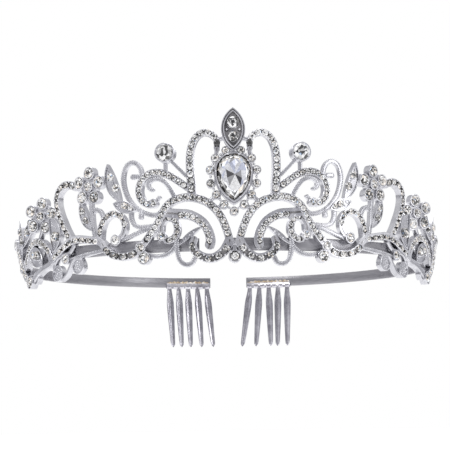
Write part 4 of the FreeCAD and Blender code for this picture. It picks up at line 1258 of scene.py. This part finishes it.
def add_studio():
    """A white room that is darker behind the camera, and soft boxes around the tiara."""
    scene = bpy.context.scene
    world = bpy.data.worlds.new("studio")
    scene.world = world
    world.use_nodes = True
    nodes = world.node_tree.nodes
    links = world.node_tree.links
    background = nodes["Background"]
    place = nodes.new("ShaderNodeTexCoord")
    split = nodes.new("ShaderNodeSeparateXYZ")
    links.new(place.outputs["Generated"], split.inputs["Vector"])
    height = ramp(nodes, [(0.0, (0.3, 0.3, 0.32)), (0.46, (0.50, 0.50, 0.52)),
                          (0.55, (0.92, 0.92, 0.95)), (0.72, (1.0, 1.0, 1.0)),
                          (1.0, (0.8, 0.8, 0.82))])
    depth = ramp(nodes, [(0.0, (0.55, 0.55, 0.57)), (0.18, (0.80, 0.80, 0.82)),
                         (0.5, (1.0, 1.0, 1.0)), (0.85, (0.7, 0.7, 0.73)),
                         (1.0, (0.55, 0.55, 0.58))])
    for axis, band in (("Z", height), ("Y", depth)):
        stretch = nodes.new("ShaderNodeMapRange")
        stretch.inputs["From Min"].default_value = -1.0
        links.new(split.outputs[axis], stretch.inputs["Value"])
        links.new(stretch.outputs["Result"], band.inputs["Fac"])
    room = nodes.new("ShaderNodeMix")
    room.data_type = "RGBA"
    room.blend_type = "MULTIPLY"
    room.inputs["Factor"].default_value = 1.0
    links.new(height.outputs["Color"], room.inputs["A"])
    links.new(depth.outputs["Color"], room.inputs["B"])
    seen = nodes.new("ShaderNodeLightPath")
    white = nodes.new("ShaderNodeMix")
    white.data_type = "RGBA"
    white.inputs["B"].default_value = (1, 1, 1, 1)
    links.new(seen.outputs["Is Camera Ray"], white.inputs["Factor"])
    links.new(room.outputs["Result"], white.inputs["A"])
    links.new(white.outputs["Result"], background.inputs["Color"])
    softbox("key", (-0.35, -0.45, 0.40), (0, -0.05, 0.01), (0.22, 0.22), 0.6)
    softbox("fill", (0.50, -0.35, 0.15), (0, -0.05, 0.01), (0.12, 0.30), 0.35)
    softbox("top", (0.0, -0.05, 0.60), (0, 0, 0), (0.50, 0.20), 0.9)
    softbox("back", (0.0, 0.55, 0.20), (0, 0, 0), (0.50, 0.20), 0.5)
    scene.view_settings.view_transform = "Standard"


def add_floor():
    """A wide pale floor, with a faint mottle."""
    material, nodes, links, shader = node_tree("pale floor")
    place = add(nodes, "ShaderNodeTexCoord")
    cloud = noise(nodes, links, place.outputs["Object"], Scale=6.0, Detail=3.0)
    coloured(nodes, links, shader, cloud, [(0.3, (0.93, 0.93, 0.93)), (0.7, (0.96, 0.96, 0.96))])
    shader.inputs["Roughness"].default_value = 0.9
    shader.inputs["Emission Color"].default_value = (1, 1, 1, 1)
    shader.inputs["Emission Strength"].default_value = 0.35
    half = FLOOR_WIDTH / 2
    corners = [(-half, -half, 0), (half, -half, 0), (half, half, 0), (-half, half, 0)]
    mesh = bpy.data.meshes.new("floor")
    mesh.from_pydata(corners, [], [(0, 1, 2, 3)])
    mesh.materials.append(material)
    floor = bpy.data.objects.new("floor", mesh)
    floor.location = (0, 0, FLOOR_HEIGHT)
    bpy.context.scene.collection.objects.link(floor)


# ---------------------------------------------------------------- assembly

def build():
    add_camera()
    add_studio()
    add_floor()
    centre_scrolls()
    halo()
    pear_setting()
    marquise()
    round_setting("drop_setting", 1, 20, "drop_collet", DROP_STONE, 4, 0.45)
    pear_stone()
    halo_stones()
    stones("marquise_pair", 1, "marquise_stones", MARQUISE_STONES, FRONT + 0.5, -0.05, 0.05, 32)
    across, height, size = DROP_STONE
    bottom = stone_row(*BOTTOM_ROW)
    stones("bottom_row", 1, "bottom_stones", bottom + [(-a, h, size) for a, h, size in bottom],
           warm=0.1, seed=36)
    stones("drop_brilliant", 1, "drop_stone", [(across, height, size - CUP_RIM)], FRONT + 0.02, 0.1,
           0.05, 34)
    for name, side in (("left", -1), ("right", 1)):
        side_scrolls(name, side)
        end_spray(name, side)
        flower(name + "_flower", side, FLOWER, FLOWER_TURN, name + "_side_flower")
        flower(name + "_last_flower", side, END_FLOWER, END_FLOWER_TURN, name + "_end_flower",
               END_FLOWER_TILT)
        wires(name + "_hook", side, name + "_hook_wire", HOOK_WIRES)
        wires(name + "_curl", side, name + "_curl_wire", CURL_WIRES)
        wires(name + "_vine", side, name + "_vine_wires", VINE_WIRES)
        wires(name + "_lower", side, name + "_lower_wires", LOWER_WIRES)
        round_setting(name + "_tall_setting", side, 19, name + "_tall_collet", TALL_STONE, 8, 0.55)
        side_stones(name, side)
    add_band()
    comb("left", LEFT_END_ANGLE, 1, LEFT_LEANS)
    comb("right", RIGHT_END_ANGLE, -1, RIGHT_LEANS)
    solder_bead("left", LEFT_END_ANGLE, 1)
    solder_bead("right", RIGHT_END_ANGLE, -1)


build()
